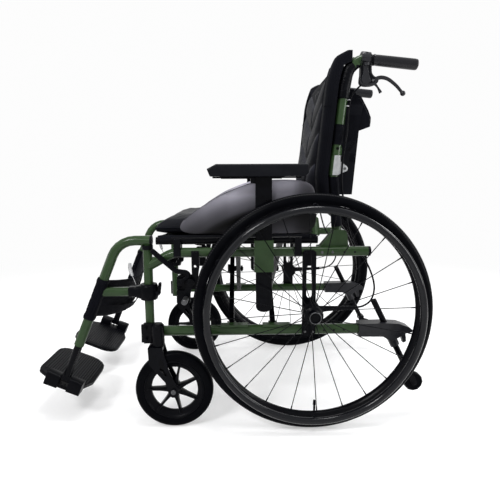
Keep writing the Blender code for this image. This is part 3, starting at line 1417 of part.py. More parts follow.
def lock_bracket():
    """The plate under the side tube that carries the wheel lock."""
    inner = OUTER_FACE + GAP * 2
    outer = inner + LOCK_PLATE
    outline = [
        (LOCK_X + 0.0275, UPPER_Z + 0.006),
        (LOCK_X + 0.0460, UPPER_Z + 0.006),
        (LOCK_X + 0.0480, UPPER_Z - 0.030),
        (LOCK_X + 0.0410, LOCK_Z - 0.005),
        (LOCK_X + 0.0380, LOCK_Z - 0.019),
        (LOCK_X + 0.0235, LOCK_Z - 0.022),
        (LOCK_X + 0.0235, LOCK_Z - 0.054),
        (LOCK_X - 0.0120, LOCK_Z - 0.0555),
        (LOCK_X - 0.0105, LOCK_Z - 0.019),
        (LOCK_X - 0.0100, LOCK_Z + 0.012),
        (LOCK_X - 0.0040, LOCK_Z + 0.0175),
        (LOCK_X + 0.0275, LOCK_Z + 0.0180),
    ]
    pieces = [prism(outline, -outer, -inner)]
    for x in (LOCK_X + 0.0330, LOCK_X + 0.0415):
        near = at(x, UPPER_Z - 0.001, outer - 0.001)
        far = at(x, UPPER_Z - 0.001, outer + 0.003)
        pieces.append(rod(near, far, 0.0040, 6))
    for (x, z), reach in ((LOCK_PIVOT, 0.0100), (SHOE_PIVOT, 0.0160)):
        pieces.append(rod(at(x, z, outer - 0.001), at(x, z, outer + reach), LOCK_PIN, 8))
        pieces.append(rod(at(x, z, outer + reach - 0.0015), at(x, z, outer + reach + 0.0006), 0.005, 6))
    pieces.append(rod(at(*SHOE_PIVOT, outer - 0.001), at(*SHOE_PIVOT, outer + 0.0085), 0.0055, 8))
    hole_place = (LOCK_X + 0.0365, UPPER_Z - 0.033)
    hole = rod(at(*hole_place, inner - 0.01), at(*hole_place, outer + 0.01), 0.0035, 8)
    return combine(pieces, [hole])


def lock_lever():
    """The push-to-lock lever: a thick hand bar on a pivoting plate."""
    face = OUTER_FACE + GAP * 2 + LOCK_PLATE
    low, high = -face - LOCK_LAYER[1], -face - LOCK_LAYER[0]
    pieces = [
        prism(capsule(LOCK_GRIP, LOCK_ELBOW, 0.0068, 0.0066, 5), low, high),
        prism(capsule(LOCK_ELBOW, LOCK_PIVOT, 0.0085, 0.0100, 5), low, high),
    ]
    bore = rod(at(*LOCK_PIVOT, face - 0.01), at(*LOCK_PIVOT, face + 0.02), bore_size(LOCK_PIN), 8)
    return combine(pieces, [bore])


def lock_shoe():
    """The arm and knurled pin that press into the tyre."""
    face = OUTER_FACE + GAP * 2 + LOCK_PLATE
    low, high = -face - SHOE_LAYER[1], -face - SHOE_LAYER[0]
    arm = prism(capsule(SHOE_PIVOT, SHOE_PIN, 0.0085, 0.0075, 5), low, high)
    pin_ends = (at(*SHOE_PIN, face + SHOE_LAYER[0] + 0.001), at(*SHOE_PIN, WHEEL_Y + TYRE_WIDTH / 2))
    pin = rod(*pin_ends, SHOE_PIN_RADIUS, 12)
    bore = rod(at(*SHOE_PIVOT, face - 0.01), at(*SHOE_PIVOT, face + 0.03), bore_size(LOCK_PIN), 8)
    return combine([arm, pin], [bore])


def cross_tube_route():
    """The hanger's cross tube, from the middle of the bent tube back to the catch ring."""
    start = at(*HANGER_END) - HANGER_DOWN * ((CROSS_TUBE_Z - HANGER_END[1]) / -HANGER_DOWN.z)
    return start, at(POST_X - 0.018, CROSS_TUBE_Z)


def hanger():
    """The swing-away hanger: bent tube, pivot pin, cross tube and the ring that seats on the front post."""
    square = rounded_square(HANGER_TUBE / 2, TUBE_CORNER)
    end = at(*HANGER_END)
    rise = (HANGER_TOP_Z - HANGER_END[1]) / -HANGER_DOWN.z
    corner = end - HANGER_DOWN * rise
    route = bent((at(HANGER_REAR_X, HANGER_TOP_Z), corner, end), HANGER_BEND, 5)
    ring_half = 0.020
    pieces = [
        swept(route, square),
        rod(at(POST_X, POST_TOP - 0.038), at(POST_X, HANGER_TOP_Z), HANGER_PIN, 12),
        swept(cross_tube_route(), rounded_square(CROSS_TUBE / 2, CROSS_CORNER)),
        rod(at(POST_X, CROSS_TUBE_Z - ring_half), at(POST_X, CROSS_TUBE_Z + ring_half), 0.0215, 12),
        block(
            (POST_X - 0.034, -SIDE_Y - 0.0125, CROSS_TUBE_Z - 0.0125),
            (POST_X - 0.015, -SIDE_Y + 0.0125, CROSS_TUBE_Z + 0.0125),
        ),
    ]
    lug = capsule((POST_X + 0.016, RELEASE_Z), (HANGER_RELEASE_X, RELEASE_Z), 0.0055, 0.0042, 2)
    near, far = RELEASE_HALF + GAP * 2, RELEASE_HALF + 0.0035
    for side in (-1, 1):
        pieces.append(prism(lug, *sorted((-RELEASE_Y + side * near, -RELEASE_Y + side * far))))
    pin = [at(HANGER_RELEASE_X, RELEASE_Z, RELEASE_Y + side * far) for side in (-1, 1)]
    pieces.append(rod(*pin, RELEASE_PIN, 8))
    cuts = [
        rod(at(POST_X, CROSS_TUBE_Z - 0.05), at(POST_X, CROSS_TUBE_Z + 0.05), POST_RADIUS + RUNNING, 12),
        rod(end + HANGER_DOWN * 0.01, end - HANGER_DOWN * (EXTENSION_HELD + 0.065), HANGER_BORE, 12),
    ]
    return combine(pieces, cuts)


def hanger_release():
    """The thumb lever that frees the hanger's catch."""
    pivot = (HANGER_RELEASE_X, RELEASE_Z)
    tip = (HANGER_RELEASE_X + 0.0035, RELEASE_Z + 0.025)
    lever = prism(capsule(pivot, tip, 0.0042, 0.0036, 4), -RELEASE_Y - RELEASE_HALF, -RELEASE_Y + RELEASE_HALF)
    bore = rod(at(*pivot, RELEASE_Y - 0.02), at(*pivot, RELEASE_Y + 0.02), bore_size(RELEASE_PIN), 8)
    return combine([lever], [bore])


def footrest_tube():
    """The extension tube with the hinge knuckle and pin that the footplate turns on."""
    top = at(*HANGER_END) - HANGER_DOWN * EXTENSION_HELD
    base = at(FOOT_PIVOT.x, FOOT_PIVOT.z)
    half = FOOT_FORWARD * (KNUCKLE_LENGTH / 2)
    pin_reach = FOOT_FORWARD * (KNUCKLE_LENGTH / 2 + 0.024)
    pieces = [
        rod(top, base, EXTENSION_RADIUS, 12),
        rod(FOOT_PIVOT - half, FOOT_PIVOT + half, KNUCKLE_RADIUS, 12),
        rod(FOOT_PIVOT - pin_reach, FOOT_PIVOT + pin_reach, PIN_RADIUS, 8),
    ]
    return combine(pieces)


def foot_point(forward, out, up):
    """A point near the footplate, from its hinge: forward along the plate, outward, and up square to it."""
    return FOOT_PIVOT + FOOT_FORWARD * forward + Vector((0, -out, 0)) - HANGER_DOWN * up


def foot_prism(outline, low, high):
    """An outline of (forward, outward) points extruded square to the footplate."""
    bm = bmesh.new()
    rings = [[bm.verts.new(foot_point(f, o, level)) for f, o in outline] for level in (low, high)]
    join_rings(bm, rings)
    return new_mesh(bm)


def footplate():
    """The moulded footplate with ribs across its tread and the hinge blocks at its outer edge."""
    inner = FOOT_INNER_Y - FOOT_HINGE_Y
    front, rear = FOOT_LENGTH_FRONT, -FOOT_LENGTH_REAR
    plate = []
    plate += arc((front - 0.026, -0.047), 0.026, 40, 0, 2)
    plate += arc((front - 0.034, inner + 0.034), 0.034, 0, -90, 4)
    plate += arc((rear + 0.046, inner + 0.046), 0.046, -90, -180, 4)
    plate += [(rear, -0.062), (rear + 0.020, -0.0135), (front - 0.036, -0.0135)]
    top = -FOOT_DROP
    low = top - FOOT_THICKNESS
    pieces = [foot_prism(plate, low, top)]
    slot = KNUCKLE_LENGTH / 2 + 0.0010
    for sign in (-1, 1):
        near, far = sorted((sign * slot, sign * FOOT_BLOCK))
        pieces.append(hinge_block(near, far, low - 0.0006, FOOT_BLOCK_TOP))
    wide = slot + 0.001
    bridge = [(-wide, -0.0155), (wide, -0.0155), (wide, 0.010), (-wide, 0.010)]
    pieces.append(foot_prism(bridge, low + 0.0006, top + 0.0004))
    ribs = 8
    for i in range(ribs):
        start = rear + 0.020 + i * (front - rear - 0.045) / (ribs - 1)
        end = start + 0.004
        rib = [(start, inner + 0.030), (end, inner + 0.030), (end, -0.034), (start, -0.034)]
        pieces.append(foot_prism(rib, top - 0.001, top + 0.0016))
    reach = KNUCKLE_LENGTH / 2 + 0.026
    ends = [FOOT_PIVOT + FOOT_FORWARD * (sign * reach) for sign in (-1, 1)]
    return combine(pieces, [rod(*ends, bore_size(PIN_RADIUS), 8)])


def hinge_block(near, far, low, high):
    """One of the two bored blocks that hold the footplate on its pin, with its upper edges taken off."""
    section = [(-0.0160, low), (0.0145, low), (0.0145, high - 0.006)]
    section += [(0.0085, high), (-0.0100, high), (-0.0160, high - 0.006)]
    bm = bmesh.new()
    rings = [[bm.verts.new(foot_point(place, out, up)) for out, up in section] for place in (near, far)]
    join_rings(bm, rings)
    return new_mesh(bm)


def tipping_step():
    """The moulded sleeve on the lower tube's end, drawn out into a foot step, with the anti-tipper's socket."""
    half = LOWER_TUBE / 2 + 0.0045
    step = [
        (STEP_FRONT_X, LOWER_Z - half),
        (0.190, LOWER_Z - half - 0.001),
        (0.212, LOWER_Z - half - 0.014),
        (0.236, LOWER_Z - half - 0.002),
        (0.247, 0.2325),
        (STEP_TIP[0] - 0.004, STEP_TIP[1] - 0.005),
        STEP_TIP,
        (STEP_TIP[0] - 0.010, STEP_TIP[1] + 0.008),
        (0.232, LOWER_Z + half - 0.001),
        (0.200, LOWER_Z + half + 0.001),
        (STEP_FRONT_X, LOWER_Z + half),
    ]
    wall = half + 0.001
    socket_centre = step_crossing()
    foot = ((0.238, 0.236), (0.252, 0.236), (0.2555, 0.208), (0.247, 0.204))
    pieces = [
        prism(step, -SIDE_Y - wall, -SIDE_Y + wall),
        rod(socket_centre - TIP_DOWN * 0.010, socket_centre + TIP_DOWN * 0.052, TIP_ARM_RADIUS + 0.0045, 12),
        prism(foot, -SIDE_Y - 0.007, -SIDE_Y + 0.007),
    ]
    lower_square = rounded_square(LOWER_TUBE / 2 + GAP, TUBE_CORNER)
    cuts = [
        swept((at(STEP_FRONT_X - 0.01, LOWER_Z), at(STEP_FRONT_X + 0.031, LOWER_Z)), lower_square),
        rod(socket_centre - TIP_DOWN * 0.12, socket_centre + TIP_DOWN * 0.12, TIP_ARM_RADIUS + GAP, 12),
    ]
    return combine(pieces, cuts)


def step_crossing():
    """Where the anti-tipper's arm crosses the height of the lower tube."""
    share = (LOWER_Z - TIP_ARM_TOP[1]) / (TIP_WHEEL[1] - TIP_ARM_TOP[1])
    return at(TIP_ARM_TOP[0] + (TIP_WHEEL[0] - TIP_ARM_TOP[0]) * share, LOWER_Z)


def tip_arm():
    """The anti-tipper's arm, with the fork cheek and axle at its foot."""
    top = at(*TIP_ARM_TOP)
    wheel = at(*TIP_WHEEL)
    foot = wheel - TIP_DOWN * (TIP_WHEEL_RADIUS + 0.011)
    half = TIP_WHEEL_WIDTH / 2 + RUNNING
    pieces = [rod(top, foot, TIP_ARM_RADIUS, 12)]
    pieces.append(
        block(
            (foot.x - 0.009, -SIDE_Y - half - 0.004, foot.z - 0.006),
            (foot.x + 0.009, -SIDE_Y + half + 0.004, foot.z + 0.008),
        )
    )
    for side in (-1, 1):
        near, far = sorted((-SIDE_Y + side * half, -SIDE_Y + side * (half + 0.004)))
        pieces.append(prism(capsule((foot.x, foot.z), TIP_WHEEL, 0.0080, 0.0075, 4), near, far))
    reach = half + 0.0055
    pieces.append(rod(at(*TIP_WHEEL, SIDE_Y - reach), at(*TIP_WHEEL, SIDE_Y + reach), PIN_RADIUS, 8))
    return combine(pieces)


def tip_wheel():
    """The anti-tipper's small roller."""
    half = TIP_WHEEL_WIDTH / 2
    bore = PIN_RADIUS + GAP
    profile = (
        (bore, -half),
        (TIP_WHEEL_RADIUS * 0.45, -half),
        (TIP_WHEEL_RADIUS * 0.66, -half * 0.70),
        (TIP_WHEEL_RADIUS * 0.86, -half),
        (TIP_WHEEL_RADIUS, -half * 0.55),
        (TIP_WHEEL_RADIUS, half * 0.55),
        (TIP_WHEEL_RADIUS * 0.86, half),
        (bore, half),
    )
    return turned(profile, at(*TIP_WHEEL), (0, -1, 0), 12)


def mirrored_point(point, side):
    """A left-side point, or its mirror image for the right."""
    point = Vector(point)
    return point if side == "left" else Vector((point.x, -point.y, point.z))


def make_bodies():
    """The empties that stand on the joint axes."""
    body("left_frame", (0, 0, 0))
    body("brace_a", (0, -BRACE_PIVOT_Y, BRACE_PIVOT_Z), "left_frame")
    body("brace_b", (0, 0, BRACE_CENTRE_Z), "brace_a")
    body("right_frame", (0, BRACE_PIVOT_Y, BRACE_PIVOT_Z), "brace_b")
    carried = (
        ("rear_wheel", "frame", at(0, WHEEL_RADIUS, WHEEL_Y)),
        ("caster_fork", "frame", at(STEM_X, FORK_CROWN_TOP, CASTER_Y)),
        ("caster_wheel", "caster_fork", at(CASTER_X, CASTER_RADIUS, CASTER_Y)),
        ("hanger", "frame", at(POST_X, HANGER_TOP_Z)),
        ("hanger_release", "hanger", at(HANGER_RELEASE_X, RELEASE_Z, RELEASE_Y)),
        ("footrest", "hanger", at(*HANGER_END)),
        ("footplate", "footrest", FOOT_PIVOT),
        ("armrest", "frame", at(ARM_POST_X, SOCKET_TOP, ARM_POST_Y)),
        ("lock_lever", "frame", at(*LOCK_PIVOT)),
        ("lock_shoe", "frame", at(*SHOE_PIVOT)),
        ("upper_back", "frame", at(BACK_PIVOT_X, BACK_PIVOT_Z, CANE_Y)),
        ("back_release", "upper_back", at(*RELEASE_PIVOT, CANE_Y)),
        ("brake_lever", "upper_back", at(*BRAKE_PIVOT, CANE_Y)),
        ("tip_arm", "frame", at(*TIP_ARM_TOP)),
        ("tip_wheel", "tip_arm", at(*TIP_WHEEL)),
    )
    for side in ("left", "right"):
        for name, parent, pivot in carried:
            body(f"{side}_{name}", mirrored_point(pivot, side), f"{side}_{parent}")
    BODIES["left_frame"][0].location.x -= CENTRE_X


def make_wheelchair():
    """Every piece of the chair."""
    make_bodies()
    finish("left_side_frame", side_frame(LEG_XS), "left_frame", "frame_green")
    right_legs = [x + LEG_STAGGER for x in LEG_XS]
    finish("right_side_frame", side_frame(right_legs), "right_frame", "frame_green", mirrored=True)
    pieces = (
        ("axle_plate", "frame", "black_metal", axle_plate),
        ("rear_wheel", "rear_wheel", "black_metal", rear_wheel),
        ("rear_tyre", "rear_wheel", "tyre_rubber", rear_tyre),
        ("handrim", "rear_wheel", "gloss_black", handrim),
        ("caster_housing", "frame", "black_metal", caster_housing),
        ("caster_fork", "caster_fork", "black_metal", caster_fork),
        ("caster_wheel", "caster_wheel", "black_plastic", caster_wheel),
        ("arm_post", "armrest", "black_metal", arm_post),
        ("arm_pad", "armrest", "black_plastic", arm_pad),
        ("skirt_guard", "armrest", "guard_grey", skirt_guard),
        ("back_bracket", "frame", "silver_cast", back_bracket),
        ("upper_cane", "upper_back", "frame_green", upper_cane),
        ("back_release", "back_release", "black_plastic", back_release),
        ("push_grip", "upper_back", "grip_rubber", push_grip),
        ("brake_lever", "brake_lever", "black_metal", brake_lever),
        ("lock_bracket", "frame", "black_metal", lock_bracket),
        ("lock_lever", "lock_lever", "black_plastic", lock_lever),
        ("lock_shoe", "lock_shoe", "silver_cast", lock_shoe),
        ("hanger", "hanger", "frame_green", hanger),
        ("hanger_release", "hanger_release", "black_plastic", hanger_release),
        ("footrest_tube", "footrest", "black_metal", footrest_tube),
        ("footplate", "footplate", "black_plastic", footplate),
        ("tipping_step", "frame", "black_plastic", tipping_step),
        ("tip_arm", "tip_arm", "black_metal", tip_arm),
        ("tip_wheel", "tip_wheel", "tyre_rubber", tip_wheel),
    )
    for label, carrier, finish_name, build in pieces:
        both_sides(label, carrier, finish_name, build)
    for side in ("left", "right"):
        brake_cable(side)
    finish("brace_a", brace(-1, 0.0, True), "brace_a", "black_metal")
    finish("brace_b", brace(1, LEG_STAGGER, False), "brace_b", "black_metal")
    finish("seat_sling", seat_sling(), "left_frame", "black_fabric")
    finish("seat_cushion", seat_cushion(), "left_frame", "black_fabric")
    finish("back_rest", back_rest(), "left_frame", "pad_charcoal")
    finish("calf_strap", calf_strap(), "left_hanger", "black_fabric")


for old in list(bpy.data.objects):
    bpy.data.objects.remove(old)
make_wheelchair()
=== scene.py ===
import math

import bmesh
import bpy
from mathutils import Matrix, Vector, noise


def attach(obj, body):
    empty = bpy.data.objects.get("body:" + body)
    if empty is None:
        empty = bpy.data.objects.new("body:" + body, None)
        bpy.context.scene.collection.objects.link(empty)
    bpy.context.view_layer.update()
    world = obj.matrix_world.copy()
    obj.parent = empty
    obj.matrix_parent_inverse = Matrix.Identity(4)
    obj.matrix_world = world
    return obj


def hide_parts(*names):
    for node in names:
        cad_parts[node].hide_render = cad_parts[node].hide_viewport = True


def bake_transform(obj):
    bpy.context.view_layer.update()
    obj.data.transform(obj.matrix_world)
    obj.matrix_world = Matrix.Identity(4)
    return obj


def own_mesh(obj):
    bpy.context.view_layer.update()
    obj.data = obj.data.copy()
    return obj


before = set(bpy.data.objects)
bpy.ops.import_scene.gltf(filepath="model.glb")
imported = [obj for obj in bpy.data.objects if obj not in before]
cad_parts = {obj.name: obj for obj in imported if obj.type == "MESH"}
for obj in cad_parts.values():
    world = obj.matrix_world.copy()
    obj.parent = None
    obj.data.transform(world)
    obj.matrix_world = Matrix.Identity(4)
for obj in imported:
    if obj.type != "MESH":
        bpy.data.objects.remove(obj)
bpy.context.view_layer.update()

# Lengths in metres. Design x runs from the rear axle; SHIFT takes it to the frame's x.
SHIFT = 0.21099212929319525
WHEEL_RADIUS = 0.300
WHEEL_Y = 0.288
TYRE_DEPTH = 0.0252
TYRE_WIDTH = 0.0246
RIM_OUTER = 0.2745
RIM_INNER = 0.2573
RIM_WIDTH = 0.020
HANDRIM_RADIUS = 0.2625
HANDRIM_TUBE = 0.0095
FLANGE_RADIUS = 0.021
FLANGE_YS = (0.2595 + 0.012, 0.3165 - 0.014)
CASTER_X = -0.35206
CASTER_RADIUS = 0.100
CASTER_Y = 0.264
SIDE_Y = 0.2325
CANE_Y = 0.195
CANE_RADIUS = 0.0125
POST_X = -0.41601
FORK_FACE = 0.2848
CROSS_Z = 0.349
SADDLE_XS = (-0.3395, -0.033)
LOCK_PIVOT = (-0.331, 0.377)
SHOE_PIVOT = (-0.306, 0.377)
SHOE_PIN = (-0.318, 0.336)
BRAKE_PIVOT = (0.1563, 0.8776)
GUARD_LINE = ((-0.298, 0.4985), (-0.3185, 0.5025), (-0.3290, 0.5105), (-0.3290, 0.5205), (-0.3190, 0.5345),
              (-0.2917, 0.5559), (-0.2666, 0.5722), (-0.2415, 0.5875), (-0.2167, 0.5999), (-0.1794, 0.6150),
              (-0.1547, 0.6232), (-0.125, 0.6298), (-0.085, 0.632), (-0.034, 0.630), (-0.004, 0.620),
              (0.008, 0.596), (0.0115, 0.533), (0.0005, 0.508), (-0.026, 0.4985), (-0.298, 0.4985))
PLATE_OUTER = 0.2491
# The panel's upper edge, the part of the panel that the sheen is painted over, and how deep it reaches
GUARD_TOP = ((-0.350, 0.505), *GUARD_LINE[4:15], (0.020, 0.590))
GUARD_FRONT, GUARD_REAR, GUARD_BASE, GUARD_RISE, GUARD_DEEP = -0.35, 0.02, 0.5, 0.15, 0.09
GUARD_INNER_Y = 0.2438
# The sheen's strength by the share of its depth below the edge, and by the share of the panel's length
GUARD_FADE = ((0.0, 0.62), (0.06, 0.60), (0.13, 0.54), (0.20, 0.46), (0.28, 0.355), (0.37, 0.245),
              (0.45, 0.180), (0.53, 0.132), (0.62, 0.100), (0.70, 0.062), (0.78, 0.012), (1.0, 0.004))
GUARD_REACH = ((0.0, 0.12), (0.09, 0.15), (0.16, 0.22), (0.23, 0.36), (0.30, 0.48), (0.36, 0.62),
               (0.46, 0.93), (0.56, 0.90), (0.66, 0.92), (0.757, 0.95), (0.84, 0.52), (0.89, 0.20),
               (0.946, 0.09), (1.0, 0.05))
# Two points of the upper cane's straight part, as x and z
UPPER_CANE = ((0.0677, 0.6928), (0.0829, 0.8416))
GRIP_WAY = (0.9948, 0, -0.1017)
SIDES = ("left", "right")
OUTWARD = (0, -1, 0)


# Camera, floor and light. The focal length and the photo's width are in pixels.
SENSOR, FOCAL_PIXELS, PHOTO_WIDTH = 36, 447.71, 500


def make_camera():
    """The photo's camera."""
    yaw, pitch, roll = [math.radians(v) for v in (1.298, -7.861, -0.312)]
    ahead = Vector((math.sin(yaw) * math.cos(pitch), math.cos(yaw) * math.cos(pitch), math.sin(pitch)))
    right = Vector((math.cos(yaw), -math.sin(yaw), 0))
    up = right.cross(ahead)
    side = right * math.cos(roll) + up * math.sin(roll)
    top = right * -math.sin(roll) + up * math.cos(roll)
    place = Vector((-0.1807 + SHIFT, -1.3638, 0.6310))
    data = bpy.data.cameras.new("camera")
    data.sensor_width = SENSOR
    data.lens = SENSOR * FOCAL_PIXELS / PHOTO_WIDTH
    data.clip_start = 0.05
    data.clip_end = 60
    camera = bpy.data.objects.new("camera", data)
    bpy.context.scene.collection.objects.link(camera)
    camera.matrix_world = Matrix(
        (
            (side.x, top.x, -ahead.x, place.x),
            (side.y, top.y, -ahead.y, place.y),
            (side.z, top.z, -ahead.z, place.z),
            (0, 0, 0, 1),
        )
    )
    bpy.context.scene.camera = camera


class Nodes:
    """A short way to add nodes and links to a node tree."""

    def __init__(self, tree):
        self.tree = tree
        tree.nodes.clear()

    def add(self, kind, inputs=None, **settings):
        node = self.tree.nodes.new(kind)
        for key, value in settings.items():
            setattr(node, key, value)
        for key, value in (inputs or {}).items():
            socket = node.inputs[key]
            if isinstance(value, bpy.types.NodeSocket):
                self.tree.links.new(value, socket)
            else:
                socket.default_value = value
        return node

    def math(self, operation, a, b=0.0):
        return self.add("ShaderNodeMath", {0: a, 1: b}, operation=operation).outputs[0]

    def plus(self, a, b):
        return self.math("ADD", a, b)

    def minus(self, a, b):
        return self.math("SUBTRACT", a, b)

    def times(self, a, b):
        return self.math("MULTIPLY", a, b)

    def above(self, a, b):
        return self.math("GREATER_THAN", a, b)

    def below(self, a, b):
        return self.math("LESS_THAN", a, b)

    def scaled(self, colour, level):
        return self.add("ShaderNodeVectorMath", {0: colour, "Scale": level}, operation="SCALE").outputs[0]

    def seen_directly(self):
        """1 for rays from the camera, also by way of a mirror or glass, which see the plain white studio."""
        path = self.add("ShaderNodeLightPath")
        seen = self.math("MAXIMUM", path.outputs["Is Camera Ray"], path.outputs["Is Glossy Ray"])
        return self.math("MAXIMUM", seen, path.outputs["Is Transmission Ray"])

    def spread(self, value, low, high, to_low=0.0, to_high=1.0):
        inputs = {0: value, 1: low, 2: high, 3: to_low, 4: to_high}
        return self.add("ShaderNodeMapRange", inputs).outputs[0]

    def within(self, value, low, high):
        """1 between two limits, else 0."""
        return self.times(self.above(value, low), self.below(value, high))

    def box(self, x, z, x_low, x_high, z_low, z_high):
        return self.times(self.within(x, x_low, x_high), self.within(z, z_low, z_high))

    def either(self, *shares):
        total = shares[0]
        for share in shares[1:]:
            total = self.math("MAXIMUM", total, share)
        return total

    def blend(self, share, first, second):
        node = self.add("ShaderNodeMix", data_type="RGBA")
        for index, value in ((0, share), (6, first), (7, second)):
            socket = node.inputs[index]
            if isinstance(value, bpy.types.NodeSocket):
                self.tree.links.new(value, socket)
            else:
                socket.default_value = value if index == 0 else (*value, 1)
        return node.outputs[2]


def make_floor():
    """The photo's pale ground."""
    bm = bmesh.new()
    corners = [bm.verts.new((x * 14, y * 14, -0.0002)) for x, y in ((-1, -1), (1, -1), (1, 1), (-1, 1))]
    bm.faces.new(corners)
    mesh = bpy.data.meshes.new("floor")
    bm.to_mesh(mesh)
    bm.free()
    floor = bpy.data.objects.new("floor", mesh)
    bpy.context.scene.collection.objects.link(floor)
    material = bpy.data.materials.new("floor")
    material.use_nodes = True
    n = Nodes(material.node_tree)
    place = n.add("ShaderNodeNewGeometry").outputs["Position"]
    far = n.add("ShaderNodeVectorMath", {0: place}, operation="LENGTH").outputs["Value"]
    fade = n.add("ShaderNodeMapRange", {0: far, 1: 0.9, 2: 2.6}, interpolation_type="SMOOTHSTEP").outputs[0]
    seen = n.seen_directly()
    body = n.add("ShaderNodeBsdfDiffuse", {0: (0.66, 0.66, 0.665, 1)}).outputs[0]
    glow = n.add("ShaderNodeEmission", {0: (0.38, 0.38, 0.38, 1), 1: 1.0}).outputs[0]
    near = n.add("ShaderNodeAddShader", {0: body, 1: glow}).outputs[0]
    plain = n.add("ShaderNodeEmission", {0: (0.98, 0.98, 0.98, 1), 1: 1.0}).outputs[0]
    shown = n.add("ShaderNodeMixShader", {0: fade, 1: near, 2: plain}).outputs[0]
    bounce = n.add("ShaderNodeBsdfDiffuse", {0: (0.62, 0.62, 0.62, 1)}).outputs[0]
    both = n.add("ShaderNodeMixShader", {0: seen, 1: bounce, 2: shown}).outputs[0]
    n.add("ShaderNodeOutputMaterial", {0: both})
    mesh.materials.append(material)


def make_light():
    """The lights."""
    scene = bpy.context.scene
    world = bpy.data.worlds.new("studio")
    scene.world = world
    world.use_nodes = True
    n = Nodes(world.node_tree)
    seen = n.seen_directly()
    heading = n.add("ShaderNodeTexCoord").outputs["Generated"]
    height = n.add("ShaderNodeSeparateXYZ", {0: heading}).outputs[2]
    level = n.spread(height, -0.1, 0.9, 0.36, 0.80)
    light = n.add("ShaderNodeBackground", {0: (1, 1, 1, 1), 1: level}).outputs[0]
    white = n.add("ShaderNodeBackground", {0: (0.98, 0.98, 0.98, 1), 1: 1.0}).outputs[0]
    last = n.add("ShaderNodeMixShader", {0: seen, 1: light, 2: white}).outputs[0]
    n.add("ShaderNodeOutputWorld", {0: last})
    lamps = (
        ("key", (-1.6, -2.3, 2.7), (0.0, 0.0, 0.45), 0.9, 0.5, 60),
        ("top", (0.3, -0.3, 3.2), (0.0, 0.0, 0.3), 1.3, 0.45, 46),
        ("rear", (2.6, 1.3, 1.9), (0.1, 0.0, 0.5), 1.2, 0.8, 22),
        ("strip", (2.3, -0.85, 1.1), (0.2, -0.1, 0.6), 0.45, 1.5, 30),
    )
    for name, place, target, wide, high, power in lamps:
        data = bpy.data.lights.new(name, "AREA")
        data.shape = "RECTANGLE"
        data.size, data.size_y, data.energy = wide, high, power
        lamp = bpy.data.objects.new(name, data)
        lamp.location = place
        lamp.rotation_euler = (Vector(target) - Vector(place)).to_track_quat("-Z", "Y").to_euler()
        scene.collection.objects.link(lamp)
    scene.view_settings.view_transform = "Standard"


